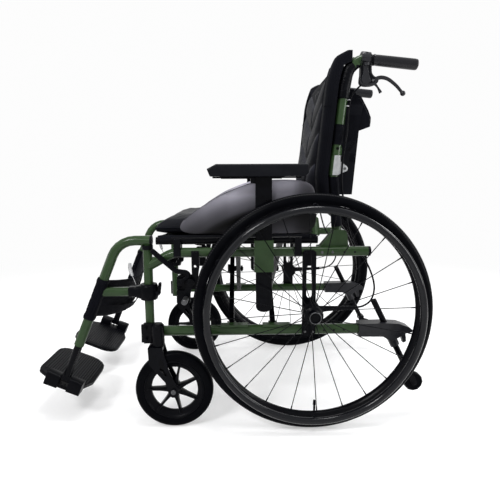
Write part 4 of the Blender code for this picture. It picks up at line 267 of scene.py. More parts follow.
# Materials
def surface(name, dark, light, rough=(0.4, 0.55), patch=18, grain=900, bump=0.05, depth=0.0004, metallic=0.0,
            specular=0.4, sheen=0.0, weave=0.0, worn=None, scratch=0.0, tread=None, mask=None, paint=None,
            cover=((0.0022, 0.0024, 0.0036), (0.0042, 0.0045, 0.0062), 0.05)):
    """A shader whose colour, roughness and fine relief vary, with lighter worn edges where asked, a painted
    highlight on a tyre's knurl ridges where asked, and painted light and shade laid on by a given function
    where asked.
    """
    material = bpy.data.materials.new(name)
    material.use_nodes = True
    n = Nodes(material.node_tree)
    place = n.add("ShaderNodeTexCoord").outputs["Object"]
    broad = n.add("ShaderNodeTexNoise", {"Vector": place, "Scale": patch, "Detail": 4.0,
                                         "Roughness": 0.6}).outputs[0]
    fine = n.add("ShaderNodeTexNoise", {"Vector": place, "Scale": grain, "Detail": 2.0}).outputs[0]
    share = n.spread(broad, 0.35, 0.65)
    colour = n.blend(share, dark, light)
    relief = fine
    if weave:
        bands = []
        for way in "XYZ":
            wave = n.add("ShaderNodeTexWave", {"Vector": place, "Scale": weave, "Distortion": 0.35,
                         "Detail": 1.0, "Detail Scale": 30.0}, bands_direction=way).outputs[1]
            bands.append(wave)
        crossed = n.plus(n.times(bands[0], bands[1]), n.times(bands[1], bands[2]))
        crossed = n.plus(crossed, n.times(bands[0], bands[2]))
        relief = n.plus(n.times(crossed, 0.8), n.times(fine, 0.3))
        thread = n.spread(crossed, 0.2, 1.6)
        colour = n.blend(n.times(thread, 0.35), colour, [min(1.0, v * 1.9 + 0.004) for v in light])
    if scratch:
        stretched = n.add("ShaderNodeMapping", {0: place, 3: (14.0, 260.0, 260.0)}).outputs[0]
        lines = n.add("ShaderNodeTexNoise", {"Vector": stretched, "Scale": 3.0, "Detail": 3.0}).outputs[0]
        colour = n.blend(n.times(n.spread(lines, 0.6, 0.75), scratch), colour,
                         [min(1.0, v * 1.6 + 0.02) for v in light])
    roughness = n.spread(n.plus(n.times(fine, 0.5), n.times(broad, 0.5)),
                         0.35, 0.65, rough[0], rough[1])
    normal_in = {}
    if tread:
        centre_x, centre_z, count, low, high, centre_y = tread
        xyz = n.add("ShaderNodeSeparateXYZ", {0: place})
        dx = n.minus(xyz.outputs[0], centre_x)
        dz = n.minus(xyz.outputs[2], centre_z)
        angle = n.math("ARCTAN2", dz, dx)
        out = n.math("ABSOLUTE", n.minus(n.math("ABSOLUTE", xyz.outputs[1]), centre_y))
        slant = n.plus(n.times(angle, count), n.times(out, 900.0))
        ridge = n.spread(n.math("SINE", slant), -0.25, 0.25)
        band = n.times(n.spread(out, low, low + 0.0008), n.spread(out, high, high - 0.0008))
        ridge = n.times(ridge, band)
        groove = n.spread(n.math("SINE", n.times(out, 2600.0)), -0.3, 0.3)
        inside = n.spread(out, low - 0.0004, low - 0.0012)
        relief = n.plus(n.times(relief, 0.12), ridge)
        relief = n.plus(relief, n.times(groove, n.times(inside, 0.6)))
        # The knurl's ridges are painted lighter: a painted highlight along the dotted band.
        colour = n.blend(n.times(ridge, 0.80), colour, (0.036, 0.036, 0.038))
    if worn:
        edge = n.add("ShaderNodeBevel", {"Radius": 0.0014}, samples=4).outputs[0]
        flat = n.add("ShaderNodeNewGeometry").outputs["Normal"]
        turn = n.add("ShaderNodeVectorMath", {0: edge, 1: flat}, operation="DOT_PRODUCT").outputs["Value"]
        rub = n.times(n.spread(turn, 0.97, 0.80), n.spread(fine, 0.38, 0.62))
        colour = n.blend(n.times(rub, 0.55), colour, worn)
        normal_in = {"Normal": edge}
    # Painted light and shade from the given function.
    if paint:
        colour = paint(n, colour, place)
    if mask:
        xyz = n.add("ShaderNodeSeparateXYZ", {0: place})
        covered = mask(n, n.minus(xyz.outputs[0], SHIFT), xyz.outputs[2])
        colour = n.blend(covered, colour, n.blend(share, *cover[:2]))
        roughness = n.plus(roughness, n.times(covered, 0.14))
        specular = n.spread(covered, 0.0, 1.0, specular, cover[2])
        metallic = n.spread(covered, 0.0, 1.0, metallic, 0.0)
    lumps = n.add("ShaderNodeBump", {"Strength": min(1.0, bump * 4), "Distance": depth, "Height": relief,
                                     **normal_in})
    inputs = {
        "Base Color": colour,
        "Roughness": roughness,
        "Metallic": metallic,
        "Specular IOR Level": specular,
        "Sheen Weight": sheen,
        "Sheen Roughness": 0.45,
        "Normal": lumps.outputs[0],
    }
    shader = n.add("ShaderNodeBsdfPrincipled", inputs).outputs[0]
    n.add("ShaderNodeOutputMaterial", {0: shader})
    return material


def float_curve(n, value, points):
    """A smooth curve through points whose coordinates are between 0 and 1."""
    node = n.add("ShaderNodeFloatCurve", {1: value})
    curve = node.mapping.curves[0]
    for _ in points[2:]:
        curve.points.new(0.5, 0.5)
    for spot, place in zip(curve.points, points):
        spot.location = place
    node.mapping.update()
    return node.outputs[0]


def guard_paint(n, colour, place):
    """Painted sheen and shade on the panel: a painted highlight lightest along its upper edge, painted shade
    towards its foot and rear, and its inner face painted brighter still.
    """
    xyz = n.add("ShaderNodeSeparateXYZ", {0: place})
    along = n.spread(n.minus(xyz.outputs[0], SHIFT), GUARD_FRONT, GUARD_REAR)
    length = GUARD_REAR - GUARD_FRONT
    edge = [((x - GUARD_FRONT) / length, (z - GUARD_BASE) / GUARD_RISE) for x, z in GUARD_TOP]
    top = float_curve(n, along, edge)
    high = n.times(n.minus(xyz.outputs[2], GUARD_BASE), 1 / GUARD_RISE)
    below = n.times(n.math("MAXIMUM", n.minus(top, high), 0.0), GUARD_RISE / GUARD_DEEP)
    fade = float_curve(n, below, GUARD_FADE)
    reach = float_curve(n, along, GUARD_REACH)
    level = n.plus(n.times(n.times(fade, reach), 0.98), 0.004)
    # The inner face is painted a quarter brighter: painted light.
    inner = n.below(n.math("ABSOLUTE", xyz.outputs[1]), GUARD_INNER_Y)
    level = n.times(level, n.spread(inner, 0.0, 1.0, 1.0, 1.25))
    tone = n.scaled((0.98, 0.97, 1.03), level)
    grain = n.scaled(colour, 7.6)
    return n.add("ShaderNodeVectorMath", {0: tone, 1: grain}, operation="MULTIPLY").outputs[0]


def pad_paint(n, colour, place):
    """Painted light on the pad: painted shade along the seams between its channels and along its middle
    seam, and a painted highlight in each channel, lightest just below its upper seam.
    """
    xyz = n.add("ShaderNodeSeparateXYZ", {0: place})
    wide = n.math("ABSOLUTE", xyz.outputs[1])
    rise = n.minus(xyz.outputs[2], n.times(wide, CHEVRON_SLOPE))
    rise = n.times(n.minus(rise, CHEVRON_BASE), 1 / CHEVRON_PITCH)
    share = n.math("FRACT", rise)
    # A painted highlight in each channel, lightest just below its upper seam.
    light = n.plus(n.times(n.math("POWER", share, 3.0), 1.9), 0.60)
    # Painted shade along the V-shaped seams and the middle seam.
    seam = n.math("MINIMUM", share, n.minus(1.0, share))
    seam = n.math("MINIMUM", n.spread(seam, 0.012, 0.034), n.spread(wide, 0.0006, 0.0020))
    level = n.times(light, n.plus(n.times(seam, 0.82), 0.18))
    return n.scaled(colour, level)


def side_mask(n, x, z):
    """The post's collar, the seat saddles and the side tube's rear cap are black."""
    parts = [n.box(x, z, POST_X - 0.02, POST_X + 0.02, 0.4583, 0.52), n.box(x, z, 0.1475, 0.30, 0.43, 0.47)]
    for saddle in SADDLE_XS:
        parts.append(n.box(x, z, saddle - 0.0093, saddle + 0.0093, 0.4362, 0.51))
    return n.either(*parts)


def hanger_mask(n, x, z):
    """The bent tube's rear cap and the catch round the post are black."""
    return n.either(n.box(x, z, -0.4085, -0.30, 0.45, 0.52), n.box(x, z, -0.4668, -0.30, 0.30, 0.385))


def bracket_mask(n, x, z):
    """The cane shows in front of the hinge's plate."""
    line = n.plus(n.times(n.minus(z, 0.6425), 0.1026), 0.0625)
    return n.below(n.minus(x, line), -0.0050)


def cane_mask(n, x, z):
    """The boot on the bend, the sleeve, the lever clamp and the hinge's knuckle are black."""
    around = n.times(n.above(x, 0.112), n.below(z, 0.9135))
    along = n.plus(n.times(n.minus(x, 0.1035), 0.8),
                   n.times(n.minus(z, 0.9175), 0.6))
    boot = n.times(n.below(along, 0.0), n.above(z, 0.8335))
    sleeve = n.within(z, 0.7199, 0.7697)
    line = n.plus(n.times(n.minus(z, 0.6425), 0.1026), 0.0625)
    knuckle = n.times(n.above(n.minus(x, line), 0.0132),
                     n.below(z, 0.740))
    return n.either(boot, sleeve, knuckle, around, n.above(x, 0.1262))


MATERIALS = {}


def make_materials():
    """Every finish, by name."""
    green_dark, green_light = (0.020, 0.043, 0.0145), (0.026, 0.054, 0.019)
    ink, ink_light = (0.0011, 0.0012, 0.0021), (0.0024, 0.0026, 0.0039)
    rubber, rubber_light = (0.0012, 0.0013, 0.0021), (0.0022, 0.0024, 0.0034)
    cast, cast_light = (0.34, 0.35, 0.36), (0.46, 0.47, 0.48)
    tyre_band = (SHIFT, WHEEL_RADIUS, 300.0, 0.0058, 0.0088, WHEEL_Y)

    def add(name, dark, light, rough, patch, grain, bump, depth=0.0003, **settings):
        MATERIALS[name] = surface(name, dark, light, rough, patch, grain, bump, depth, **settings)

    for name, mask in (("frame_green", None), ("side_green", side_mask), ("hanger_green", hanger_mask),
                       ("cane_green", cane_mask)):
        add(name, green_dark, green_light, (0.20, 0.27), 26, 2600, 0.020, specular=0.20,
            worn=(0.045, 0.080, 0.034), mask=mask)
    add("black_metal", ink, ink_light, (0.20, 0.28), 30, 2400, 0.03, specular=0.055,
        worn=(0.030, 0.031, 0.035))
    add("black_plastic", ink, ink_light, (0.26, 0.34), 22, 1500, 0.06, specular=0.045,
        worn=(0.026, 0.027, 0.031))
    add("foot_plastic", (0.0068, 0.0072, 0.0088), (0.0100, 0.0105, 0.0122), (0.28, 0.38), 22, 1500, 0.06,
        specular=0.09, worn=(0.050, 0.051, 0.055))
    # A copy of the black plastic for the lever, its clamp and the tipping step; its base, lighter than the
    # black plastic's, is partly a painted highlight.
    add("moulded", (0.0100, 0.0104, 0.0128), (0.0150, 0.0155, 0.0185), (0.26, 0.34), 40, 1500, 0.05,
        specular=0.20, worn=(0.06, 0.062, 0.07))
    add("tyre_rubber", rubber, rubber_light, (0.28, 0.36), 34, 900, 0.04, specular=0.02)
    # The tyre's edge band: its knurl ridges carry a painted highlight.
    add("tread", rubber, rubber_light, (0.28, 0.36), 34, 1500, 0.10, 0.0005, specular=0.02, tread=tyre_band)
    add("gloss_black", (0.0036, 0.0039, 0.0055), (0.0052, 0.0056, 0.0074), (0.10, 0.13), 24, 500, 0.006,
        0.0002, specular=0.19, scratch=0.05)
    add("grip_rubber", (0.0050, 0.0053, 0.0072), (0.0062, 0.0066, 0.0088), (0.20, 0.23), 28, 1000, 0.006,
        0.0002, specular=0.22)
    add("silver_cast", cast, cast_light, (0.30, 0.46), 60, 1100, 0.10, 0.0004, metallic=0.55,
        worn=(0.75, 0.75, 0.76))
    add("bracket_cast", cast, cast_light, (0.30, 0.42), 60, 1100, 0.05, metallic=0.55,
        worn=(0.62, 0.62, 0.63), mask=bracket_mask, cover=(green_dark, green_light, 0.20))
    add("steel", (0.42, 0.42, 0.43), (0.58, 0.58, 0.59), (0.20, 0.34), 80, 1400, 0.03, 0.0004, metallic=0.8,
        worn=(0.8, 0.8, 0.8))
    add("dark_steel", (0.060, 0.061, 0.064), (0.095, 0.096, 0.100), (0.24, 0.38), 80, 1400, 0.03, 0.0004,
        metallic=0.7, worn=(0.3, 0.3, 0.3))
    add("black_fabric", (0.0016, 0.0018, 0.0032), (0.0032, 0.0035, 0.0056), (0.60, 0.75), 14, 700, 0.14,
        0.0005, specular=0.03, sheen=0.012, weave=210)
    add("seat_fabric", (0.0036, 0.0039, 0.0060), (0.0064, 0.0068, 0.0096), (0.36, 0.48), 12, 800, 0.08,
        0.0004, specular=0.055, sheen=0.01, weave=240)
    add("pad_charcoal", (0.0070, 0.0073, 0.0100), (0.0100, 0.0104, 0.0138), (0.34, 0.44), 16, 700, 0.07,
        0.0004, specular=0.012, weave=230, paint=pad_paint)
    add("pad_skin", (0.0040, 0.0043, 0.0060), (0.0064, 0.0068, 0.0088), (0.34, 0.44), 28, 1000, 0.08,
        specular=0.06)
    add("thread", (0.030, 0.031, 0.036), (0.050, 0.051, 0.057), (0.5, 0.7), 300, 3000, 0.1, 0.0002)
    add("guard_grey", (0.118, 0.116, 0.128), (0.134, 0.132, 0.144), (0.34, 0.44), 9, 1600, 0.02, 0.0004,
        specular=0.10, worn=(0.28, 0.28, 0.29), paint=guard_paint)
    # Painted shade for holes, slots and recesses.
    add("hole", (0.0022, 0.0022, 0.0028), (0.0036, 0.0036, 0.0042), (0.6, 0.8), 60, 900, 0.02, 0.0004,
        specular=0.06)


# Mesh helpers
def new_mesh(bm):
    """A mesh from a bmesh, which is freed."""
    bmesh.ops.recalc_face_normals(bm, faces=bm.faces)
    mesh = bpy.data.meshes.new("shape")
    bm.to_mesh(mesh)
    bm.free()
    return mesh


def join_rings(bm, rings, closed=False, capped=True):
    """Faces between rings of vertices, one after another."""
    pairs = list(zip(rings, rings[1:]))
    if closed:
        pairs.append((rings[-1], rings[0]))
    for first, second in pairs:
        count = max(len(first), len(second))
        for i in range(count):
            j = (i + 1) % count
            if len(first) == 1:
                bm.faces.new((first[0], second[j], second[i]))
            elif len(second) == 1:
                bm.faces.new((first[i], first[j], second[0]))
            else:
                bm.faces.new((first[i], first[j], second[j], second[i]))
    if capped and not closed:
        for ring in (rings[0], rings[-1]):
            if len(ring) > 2:
                bm.faces.new(ring)


def lofted(rings, closed=False, capped=True):
    """A mesh through rings of points."""
    bm = bmesh.new()
    made = [[bm.verts.new(spot) for spot in ring] for ring in rings]
    join_rings(bm, made, closed, capped)
    return new_mesh(bm)


def on_circle(count, turn=0.0):
    """The cosine and sine of equal steps round a circle."""
    angles = [turn + math.tau * k / count for k in range(count)]
    return [(math.cos(angle), math.sin(angle)) for angle in angles]


def axis_frame(axis):
    """A unit vector along an axis, and two across it."""
    along = Vector(axis).normalized()
    helper = Vector((0, 0, 1)) if abs(along.z) < 0.9 else Vector((1, 0, 0))
    across = along.cross(helper).normalized()
    return along, across, across.cross(along)


def turned(profile, centre, axis, steps=24, turn=0.0):
    """A profile of radii and heights turned round an axis, closed unless its ends lie on the axis."""
    along, across, up = axis_frame(axis)
    rings = []
    for radius, height in profile:
        base = Vector(centre) + along * height
        if radius < 1e-7:
            rings.append([base])
        else:
            rings.append([base + (across * c + up * s) * radius for c, s in on_circle(steps, turn)])
    open_ended = len(rings[0]) == 1 and len(rings[-1]) == 1
    return lofted(rings, not open_ended, False)


def rod(start, end, radius, steps=12, far_radius=None):
    """A round bar between two points, tapering where a far radius is given."""
    start, end = Vector(start), Vector(end)
    length = (end - start).length
    far_radius = radius if far_radius is None else far_radius
    return turned(((0, 0), (radius, 0), (far_radius, length), (0, length)), start, end - start, steps)


def tube(points, radius, steps=12, closed=False, flat=1.0):
    """A round tube along points, its section carried without twist, flattened across where asked."""
    points = [Vector(point) for point in points]
    rings = []
    side = None
    last = len(points) - 1
    for i, point in enumerate(points):
        before = points[i - 1] if i or closed else points[0]
        after = points[(i + 1) % len(points)] if i < last or closed else points[last]
        heading = (after - before).normalized()
        if side is None:
            side = axis_frame(heading)[1]
        side = (side - heading * side.dot(heading)).normalized()
        up = heading.cross(side)
        size = radius(i / last) if callable(radius) else radius
        rings.append([point + side * (c * size) + up * (s * size * flat) for c, s in on_circle(steps)])
    return lofted(rings, closed)


def prism(outline, low, high):
    """An outline of x and z pushed out across the chair, from one y to another."""
    bm = bmesh.new()
    face = bm.faces.new([bm.verts.new((x, low, z)) for x, z in outline])
    shift = Vector((0, high - low, 0))
    grown = bmesh.ops.extrude_face_region(bm, geom=[face])
    moved = [item for item in grown["geom"] if isinstance(item, bmesh.types.BMVert)]
    bmesh.ops.translate(bm, verts=moved, vec=shift)
    return new_mesh(bm)


def stadium(start, end, radius, steps=8):
    """The outline of a bar with round ends."""
    heading = math.atan2(end[1] - start[1], end[0] - start[0])
    points = []
    for centre, turn in ((end, -90), (start, 90)):
        for k in range(steps + 1):
            angle = heading + math.radians(turn + 180 * k / steps)
            points.append((centre[0] + radius * math.cos(angle), centre[1] + radius * math.sin(angle)))
    return points


def smooth_curve(points, per_span):
    """A smooth line through points, with so many steps from each to the next."""
    points = [Vector(point) for point in points]
    padded = [points[0] * 2 - points[1]] + points + [points[-1] * 2 - points[-2]]
    out = []
    for i in range(len(points) - 1):
        a, b, c, d = padded[i : i + 4]
        for step in range(per_span):
            t = step / per_span
            bend, twist = 2 * a - 5 * b + 4 * c - d, 3 * b - a - 3 * c + d
            out.append(0.5 * ((2 * b) + (c - a) * t + bend * t * t + twist * t**3))
    out.append(points[-1])
    return out


def joined(meshes):
    """Several meshes as one."""
    bm = bmesh.new()
    for mesh in meshes:
        bm.from_mesh(mesh)
        bpy.data.meshes.remove(mesh)
    mesh = bpy.data.meshes.new("shape")
    bm.to_mesh(mesh)
    bm.free()
    return mesh


def smooth(mesh, limit=40):
    """Smooth shading that breaks at edges sharper than the limit."""
    bm = bmesh.new()
    bm.from_mesh(mesh)
    for face in bm.faces:
        face.smooth = True
    for edge in bm.edges:
        edge.smooth = not (len(edge.link_faces) == 2 and edge.calc_face_angle(0) > math.radians(limit))
    bm.to_mesh(mesh)
    bm.free()


def piece(name, mesh, body, finish, slot=None, nodes=(), limit=40, bevel=0.0, subdivide=0, ride=True):
    """An object made of a mesh in design coordinates, riding on a body."""
    mesh.transform(Matrix.Translation((SHIFT, 0, 0)))
    smooth(mesh, limit)
    mesh.materials.clear()
    mesh.materials.append(MATERIALS[finish])
    obj = bpy.data.objects.new(name, mesh)
    bpy.context.scene.collection.objects.link(obj)
    if bevel:
        modifier = obj.modifiers.new("edges", "BEVEL")
        modifier.width, modifier.segments, modifier.limit_method = bevel, 2, "ANGLE"
        modifier.angle_limit = math.radians(35)
        modifier.harden_normals = True
    if subdivide:
        modifier = obj.modifiers.new("rounding", "SUBSURF")
        modifier.levels = modifier.render_levels = subdivide
    if ride:
        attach(obj, body)
    if nodes:
        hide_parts(*nodes)
    return obj


def mirrored(mesh):
    """A left-side mesh turned into the right side's."""
    mesh.transform(Matrix.Diagonal((1, -1, 1, 1)))
    mesh.flip_normals()
    return mesh


def paired(label, build, body, finish, node=None, **settings):
    """The same piece on both sides, built for the left. body and node get the side's name before them."""
    made = []
    for side in SIDES:
        mesh = build() if side == "left" else mirrored(build())
        nodes = (f"{side}_{node}",) if node else ()
        made.append(piece(f"{side}_{label}", mesh, f"{side}_{body}", finish, nodes=nodes, **settings))
    return made


def at(x, z, y=SIDE_Y):
    """A place on the left side, y being its distance from the middle plane."""
    return Vector((x, -y, z))


def along_cane(*spots):
    """Places in the upright plane of the left cane, each given as x and z."""
    return [at(x, z, CANE_Y) for x, z in spots]


def on_wheel(radius, angle, y):
    """A place on the rear wheel, by its distance from the axle and its angle."""
    return at(radius * math.cos(angle), WHEEL_RADIUS + radius * math.sin(angle), y)


def share_at(step, steps):
    """-1 at the first step, 1 at the last."""
    return -1 + 2 * step / steps


def clamped(value):
    """The value kept between 0 and 1."""
    return min(1.0, max(0.0, value))


# CAD nodes that stay
def rounding_group():
    """A modifier that shades a mesh smooth except at sharp edges."""
    group = bpy.data.node_groups.new("rounding", "GeometryNodeTree")
    group.interface.new_socket("Geometry", in_out="INPUT", socket_type="NodeSocketGeometry")
    group.interface.new_socket("Geometry", in_out="OUTPUT", socket_type="NodeSocketGeometry")
    nodes, links = group.nodes, group.links
    start, end = nodes.new("NodeGroupInput"), nodes.new("NodeGroupOutput")
    plain = nodes.new("GeometryNodeRemoveAttribute")
    plain.inputs["Name"].default_value = "custom_normal"
    faces = nodes.new("GeometryNodeSetShadeSmooth")
    faces.domain = "FACE"
    edges = nodes.new("GeometryNodeSetShadeSmooth")
    edges.domain = "EDGE"
    edges.inputs["Shade Smooth"].default_value = False
    angle = nodes.new("GeometryNodeInputMeshEdgeAngle")
    sharp = nodes.new("FunctionNodeCompare")
    sharp.data_type = "FLOAT"
    sharp.operation = "GREATER_THAN"
    sharp.inputs[1].default_value = math.radians(50)
    links.new(angle.outputs[0], sharp.inputs[0])
    links.new(start.outputs[0], plain.inputs[0])
    links.new(plain.outputs[0], faces.inputs["Geometry"])
    links.new(faces.outputs[0], edges.inputs["Geometry"])
    links.new(sharp.outputs[0], edges.inputs["Selection"])
    links.new(edges.outputs[0], end.inputs[0])
    return group


NODE_LOOKS = {
    "back_bracket": "bracket_cast",
    "side_frame": "side_green",
    "hanger": "hanger_green",
    "upper_cane": "cane_green",
    "arm_pad": "pad_skin",
    "tipping_step": "moulded",
}
NODE_BEVELS = {"arm_pad": 0.0045, "tipping_step": 0.003, "tip_arm": 0.002, "caster_housing": 0.0015,
               "arm_post": 0.0015}


def dress_nodes():
    """The finishes and bevels of the CAD nodes that stay."""
    group = rounding_group()
    for name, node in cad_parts.items():
        kind = name.split("_", 1)[1] if name.startswith(SIDES) else name
        for index, old in enumerate(node.data.materials):
            label = NODE_LOOKS.get(kind, old.name.split(".")[0] if old else "black_plastic")
            node.material_slots[index].link = "OBJECT"
            node.material_slots[index].material = MATERIALS.get(label, MATERIALS["black_plastic"])
        weld = node.modifiers.new("weld", "WELD")
        weld.merge_threshold = 0.00002
        if kind in NODE_BEVELS:
            edges = node.modifiers.new("edges", "BEVEL")
            edges.width, edges.segments, edges.limit_method = NODE_BEVELS[kind], 3, "ANGLE"
            edges.angle_limit = math.radians(38)
        rounding = node.modifiers.new("rounding", "NODES")
        rounding.node_group = group
        weighted = node.modifiers.new("flats", "WEIGHTED_NORMAL")
        weighted.keep_sharp = True


# Wheels
def rear_wheels():
    """Both rear wheels: tyre, rim, hub, spokes, push ring and valve."""
    centre = at(0, WHEEL_RADIUS, WHEEL_Y)
    top = math.pi / 2

    def tyre():
        half, seat = TYRE_WIDTH / 2, WHEEL_RADIUS - TYRE_DEPTH
        foot = [(seat, -half * 0.80), (seat + 0.10 * TYRE_DEPTH, -half * 0.88)]
        wall = [(seat + 0.52 * TYRE_DEPTH, -half), (seat + 0.90 * TYRE_DEPTH, -half * 0.55)]
        curve = smooth_curve([(r, w, 0) for r, w in (foot[-1], *wall, (WHEEL_RADIUS, 0))], 5)
        rising = [(point.x, point.y) for point in curve]
        falling = [(r, -w) for r, w in reversed(rising[:-1])]
        outline = [foot[0], *rising, *falling, (seat, half * 0.80)]
        outline = [(min(r, WHEEL_RADIUS), w) for r, w in outline]
        return turned(outline, centre, OUTWARD, 144, top)

    def rim():
        h = RIM_WIDTH / 2
        side = [(RIM_INNER, 0.003), (RIM_INNER + 0.0022, h * 0.72), (RIM_INNER + 0.0060, h),
                (RIM_OUTER - 0.0052, h), (RIM_OUTER - 0.0044, h * 0.90), (RIM_OUTER - 0.0036, h * 0.98),
                (RIM_OUTER - 0.0008, h * 1.02), (RIM_OUTER, h * 0.86)]
        profile = [(r, w) for r, w in side] + [(r, -w) for r, w in reversed(side)]
        return turned(profile, centre, OUTWARD, 144, top)

    def spokes():
        """Two dozen crossed spokes, with a nipple at the rim and a head in the flange."""
        parts = []
        for i in range(24):
            angle = math.tau * i / 24 + 0.05
            lead = math.radians(8) * (1 if i % 4 < 2 else -1)
            start = on_wheel(FLANGE_RADIUS, angle + lead, FLANGE_YS[i % 2])
            end = on_wheel(RIM_INNER + 0.001, angle, WHEEL_Y + (i % 2 - 0.5) * 0.004)
            parts.append(rod(start, end, 0.00115, 8))
            way = (start - end).normalized()
            parts.append(rod(end, end + way * 0.012, 0.0020, 8, 0.0016))
            parts.append(turned(((0, -0.0012), (0.0022, -0.0010), (0.0024, 0), (0.0022, 0.0010),
                                 (0, 0.0012)),
                                start, OUTWARD, 8))
        return joined(parts)

    def hub():
        profile = ((0, 0.2595), (0.0215, 0.2595), (0.0225, 0.2605), (0.0225, 0.2660), (0.0232, 0.2670),
                   (0.0240, 0.2690), (0.0240, 0.2736), (0.0155, 0.2758), (0.0135, 0.2785), (0.0132, 0.2860),
                   (0.0135, 0.2955), (0.0160, 0.2985), (0.0228, 0.3003), (0.0234, 0.3010), (0.0234, 0.3032),
                   (0.0228, 0.3040), (0.0196, 0.3056), (0.0176, 0.3070), (0.0164, 0.3180), (0.0156, 0.3226),
                   (0.0146, 0.3240), (0.0132, 0.3245), (0.0122, 0.3241), (0.0114, 0.3200), (0.0110, 0.3190),
                   (0, 0.3190))
        return turned(profile, at(0, WHEEL_RADIUS, 0), OUTWARD, 64)

    def hub_ring():
        """The bright lip of the hub's cap."""
        return turned(((0.0126, 0.3236), (0.0132, 0.3245), (0.0140, 0.3246), (0.0147, 0.3240),
                       (0.0146, 0.3230)),
                      at(0, WHEEL_RADIUS, 0), OUTWARD, 64)

    def ring():
        loop = [on_wheel(HANDRIM_RADIUS, math.tau * i / 144, WHEEL_Y + 0.039) for i in range(144)]
        return tube(loop, HANDRIM_TUBE * 0.93, 18, closed=True)

    def tabs():
        """The six tabs that hold the push ring, each with its round foot on the rim."""
        parts = []
        for i in range(6):
            angle = math.tau * (i + 0.5) / 6
            foot = on_wheel(RIM_INNER + 0.0115, angle, WHEEL_Y + 0.0103)
            head = on_wheel(HANDRIM_RADIUS, angle, WHEEL_Y + 0.034)
            parts.append(tube([foot, foot.lerp(head, 0.3), head], lambda t: 0.0066 - 0.0022 * t, 14))
            parts.append(turned(((0, -0.0002), (0.0078, -0.0002), (0.0078, 0.0012), (0.0068, 0.0020),
                                 (0, 0.0020)),
                                foot, OUTWARD, 16))
        return joined(parts)

    def valve():
        low = at(0.006, WHEEL_RADIUS - RIM_INNER, WHEEL_Y)
        return joined([rod(low, low + Vector((0, 0, 0.020)), 0.0028, 12),
                       rod(low + Vector((0, 0, 0.018)), low + Vector((0, 0, 0.030)), 0.0038, 12, 0.0032)])

    paired("tyre", tyre, "rear_wheel", "tread", "rear_tyre", limit=50, slot="tyre_rubber")
    paired("rim", rim, "rear_wheel", "black_metal", "rear_wheel", limit=30)
    paired("spokes", spokes, "rear_wheel", "black_metal", "rear_wheel")
    paired("hub", hub, "rear_wheel", "black_metal", "rear_wheel", limit=32)
    paired("hub_ring", hub_ring, "rear_wheel", "dark_steel", "rear_wheel", limit=60)
    paired("push_ring", ring, "rear_wheel", "gloss_black", "handrim", limit=60)
    paired("push_ring_tabs", tabs, "rear_wheel", "black_metal", "handrim", limit=45)
    paired("valve", valve, "rear_wheel", "tyre_rubber")


def casters():
    """Both casters' wheels."""
    centre = at(CASTER_X, CASTER_RADIUS, CASTER_Y)
    top = math.pi / 2

    def tyre():
        side = [(0.0772, 0.0122), (0.0800, 0.0146), (0.0880, 0.0147), (0.0945, 0.0135), (0.0980, 0.0100),
                (0.0996, 0.0055), (0.1000, 0)]
        profile = side + [(r, -w) for r, w in reversed(side[:-1])]
        return turned(profile, centre, OUTWARD, 96, top)

    def spoke(angle):
        """A spoke that widens towards the hub, with an eight-sided section."""
        corners = ((-1, -0.75), (-0.62, -1), (0.62, -1), (1, -0.75), (1, 0.75), (0.62, 1), (-0.62, 1),
                   (-1, 0.75))
        along = Vector((math.cos(angle), 0, math.sin(angle)))
        across = Vector((-along.z, 0, along.x))
        rings = []
        for reach, wide, deep in ((0.0120, 0.0070, 0.0128), (0.0200, 0.0050, 0.0124),
                                  (0.0340, 0.0033, 0.0116), (0.0480, 0.0029, 0.0108),
                                  (0.0580, 0.0027, 0.0103), (0.0680, 0.0026, 0.0100),
                                  (0.0728, 0.0030, 0.0098)):
            base = centre + along * reach
            rings.append([base + across * (u * wide) + Vector((0, v * deep, 0)) for u, v in corners])
        return lofted(rings)

    def rim():
        side = [(0.0594, 0.0050), (0.0600, 0.0062), (0.0700, 0.0088), (0.0728, 0.0112), (0.0742, 0.0131),
                (0.0756, 0.0134), (0.0764, 0.0122), (0.0771, 0.0120), (0.0774, 0.0110)]
        profile = side + [(r, -w) for r, w in reversed(side)]
        hub = ((0.0043, -0.0160), (0.0130, -0.0160), (0.0152, -0.0145), (0.0155, -0.0060), (0.0170, -0.0045),
               (0.0170, 0.0045), (0.0155, 0.0060), (0.0152, 0.0145), (0.0130, 0.0160), (0.0043, 0.0160))
        parts = [turned(profile, centre, OUTWARD, 96, top), turned(hub, centre, OUTWARD, 40)]
        return joined(parts + [spoke(math.pi + math.tau * i / 7) for i in range(7)])

    def fork_details():
        """Dark patches for the recess, slot and holes of the outer fork blade: painted shade in their
        hollows.
        """
        parts = []
        for start, end, wide in (((-0.3835, 0.1800), (-0.3785, 0.1655), 0.0056),
                                 ((-0.3695, 0.1500), (-0.3585, 0.1310), 0.0020),
                                 ((-0.3530, 0.1135), (-0.3528, 0.1115), 0.0022),
                                 ((-0.3521, 0.0870), (-0.3521, 0.0868), 0.0020)):
            parts.append(prism(stadium(start, end, wide), -FORK_FACE - 0.00035, -FORK_FACE + 0.0002))
        return joined(parts)

    def fork_bolt():
        """The axle bolt with its socket head."""
        head = ((0, -0.0008), (0.0060, -0.0008), (0.0064, 0.0006), (0.0060, 0.0026), (0.0048, 0.0034),
                (0.0026, 0.0034), (0.0024, 0.0018), (0, 0.0018))
        return turned(head, at(CASTER_X, CASTER_RADIUS, FORK_FACE + 0.0040), OUTWARD, 24)

    paired("caster_tyre", tyre, "caster_wheel", "tyre_rubber", "caster_wheel", limit=42)
    paired("caster_rim", rim, "caster_wheel", "black_plastic", "caster_wheel", limit=34)
    paired("fork_slots", fork_details, "caster_fork", "hole")
    paired("fork_bolt", fork_bolt, "caster_fork", "dark_steel")


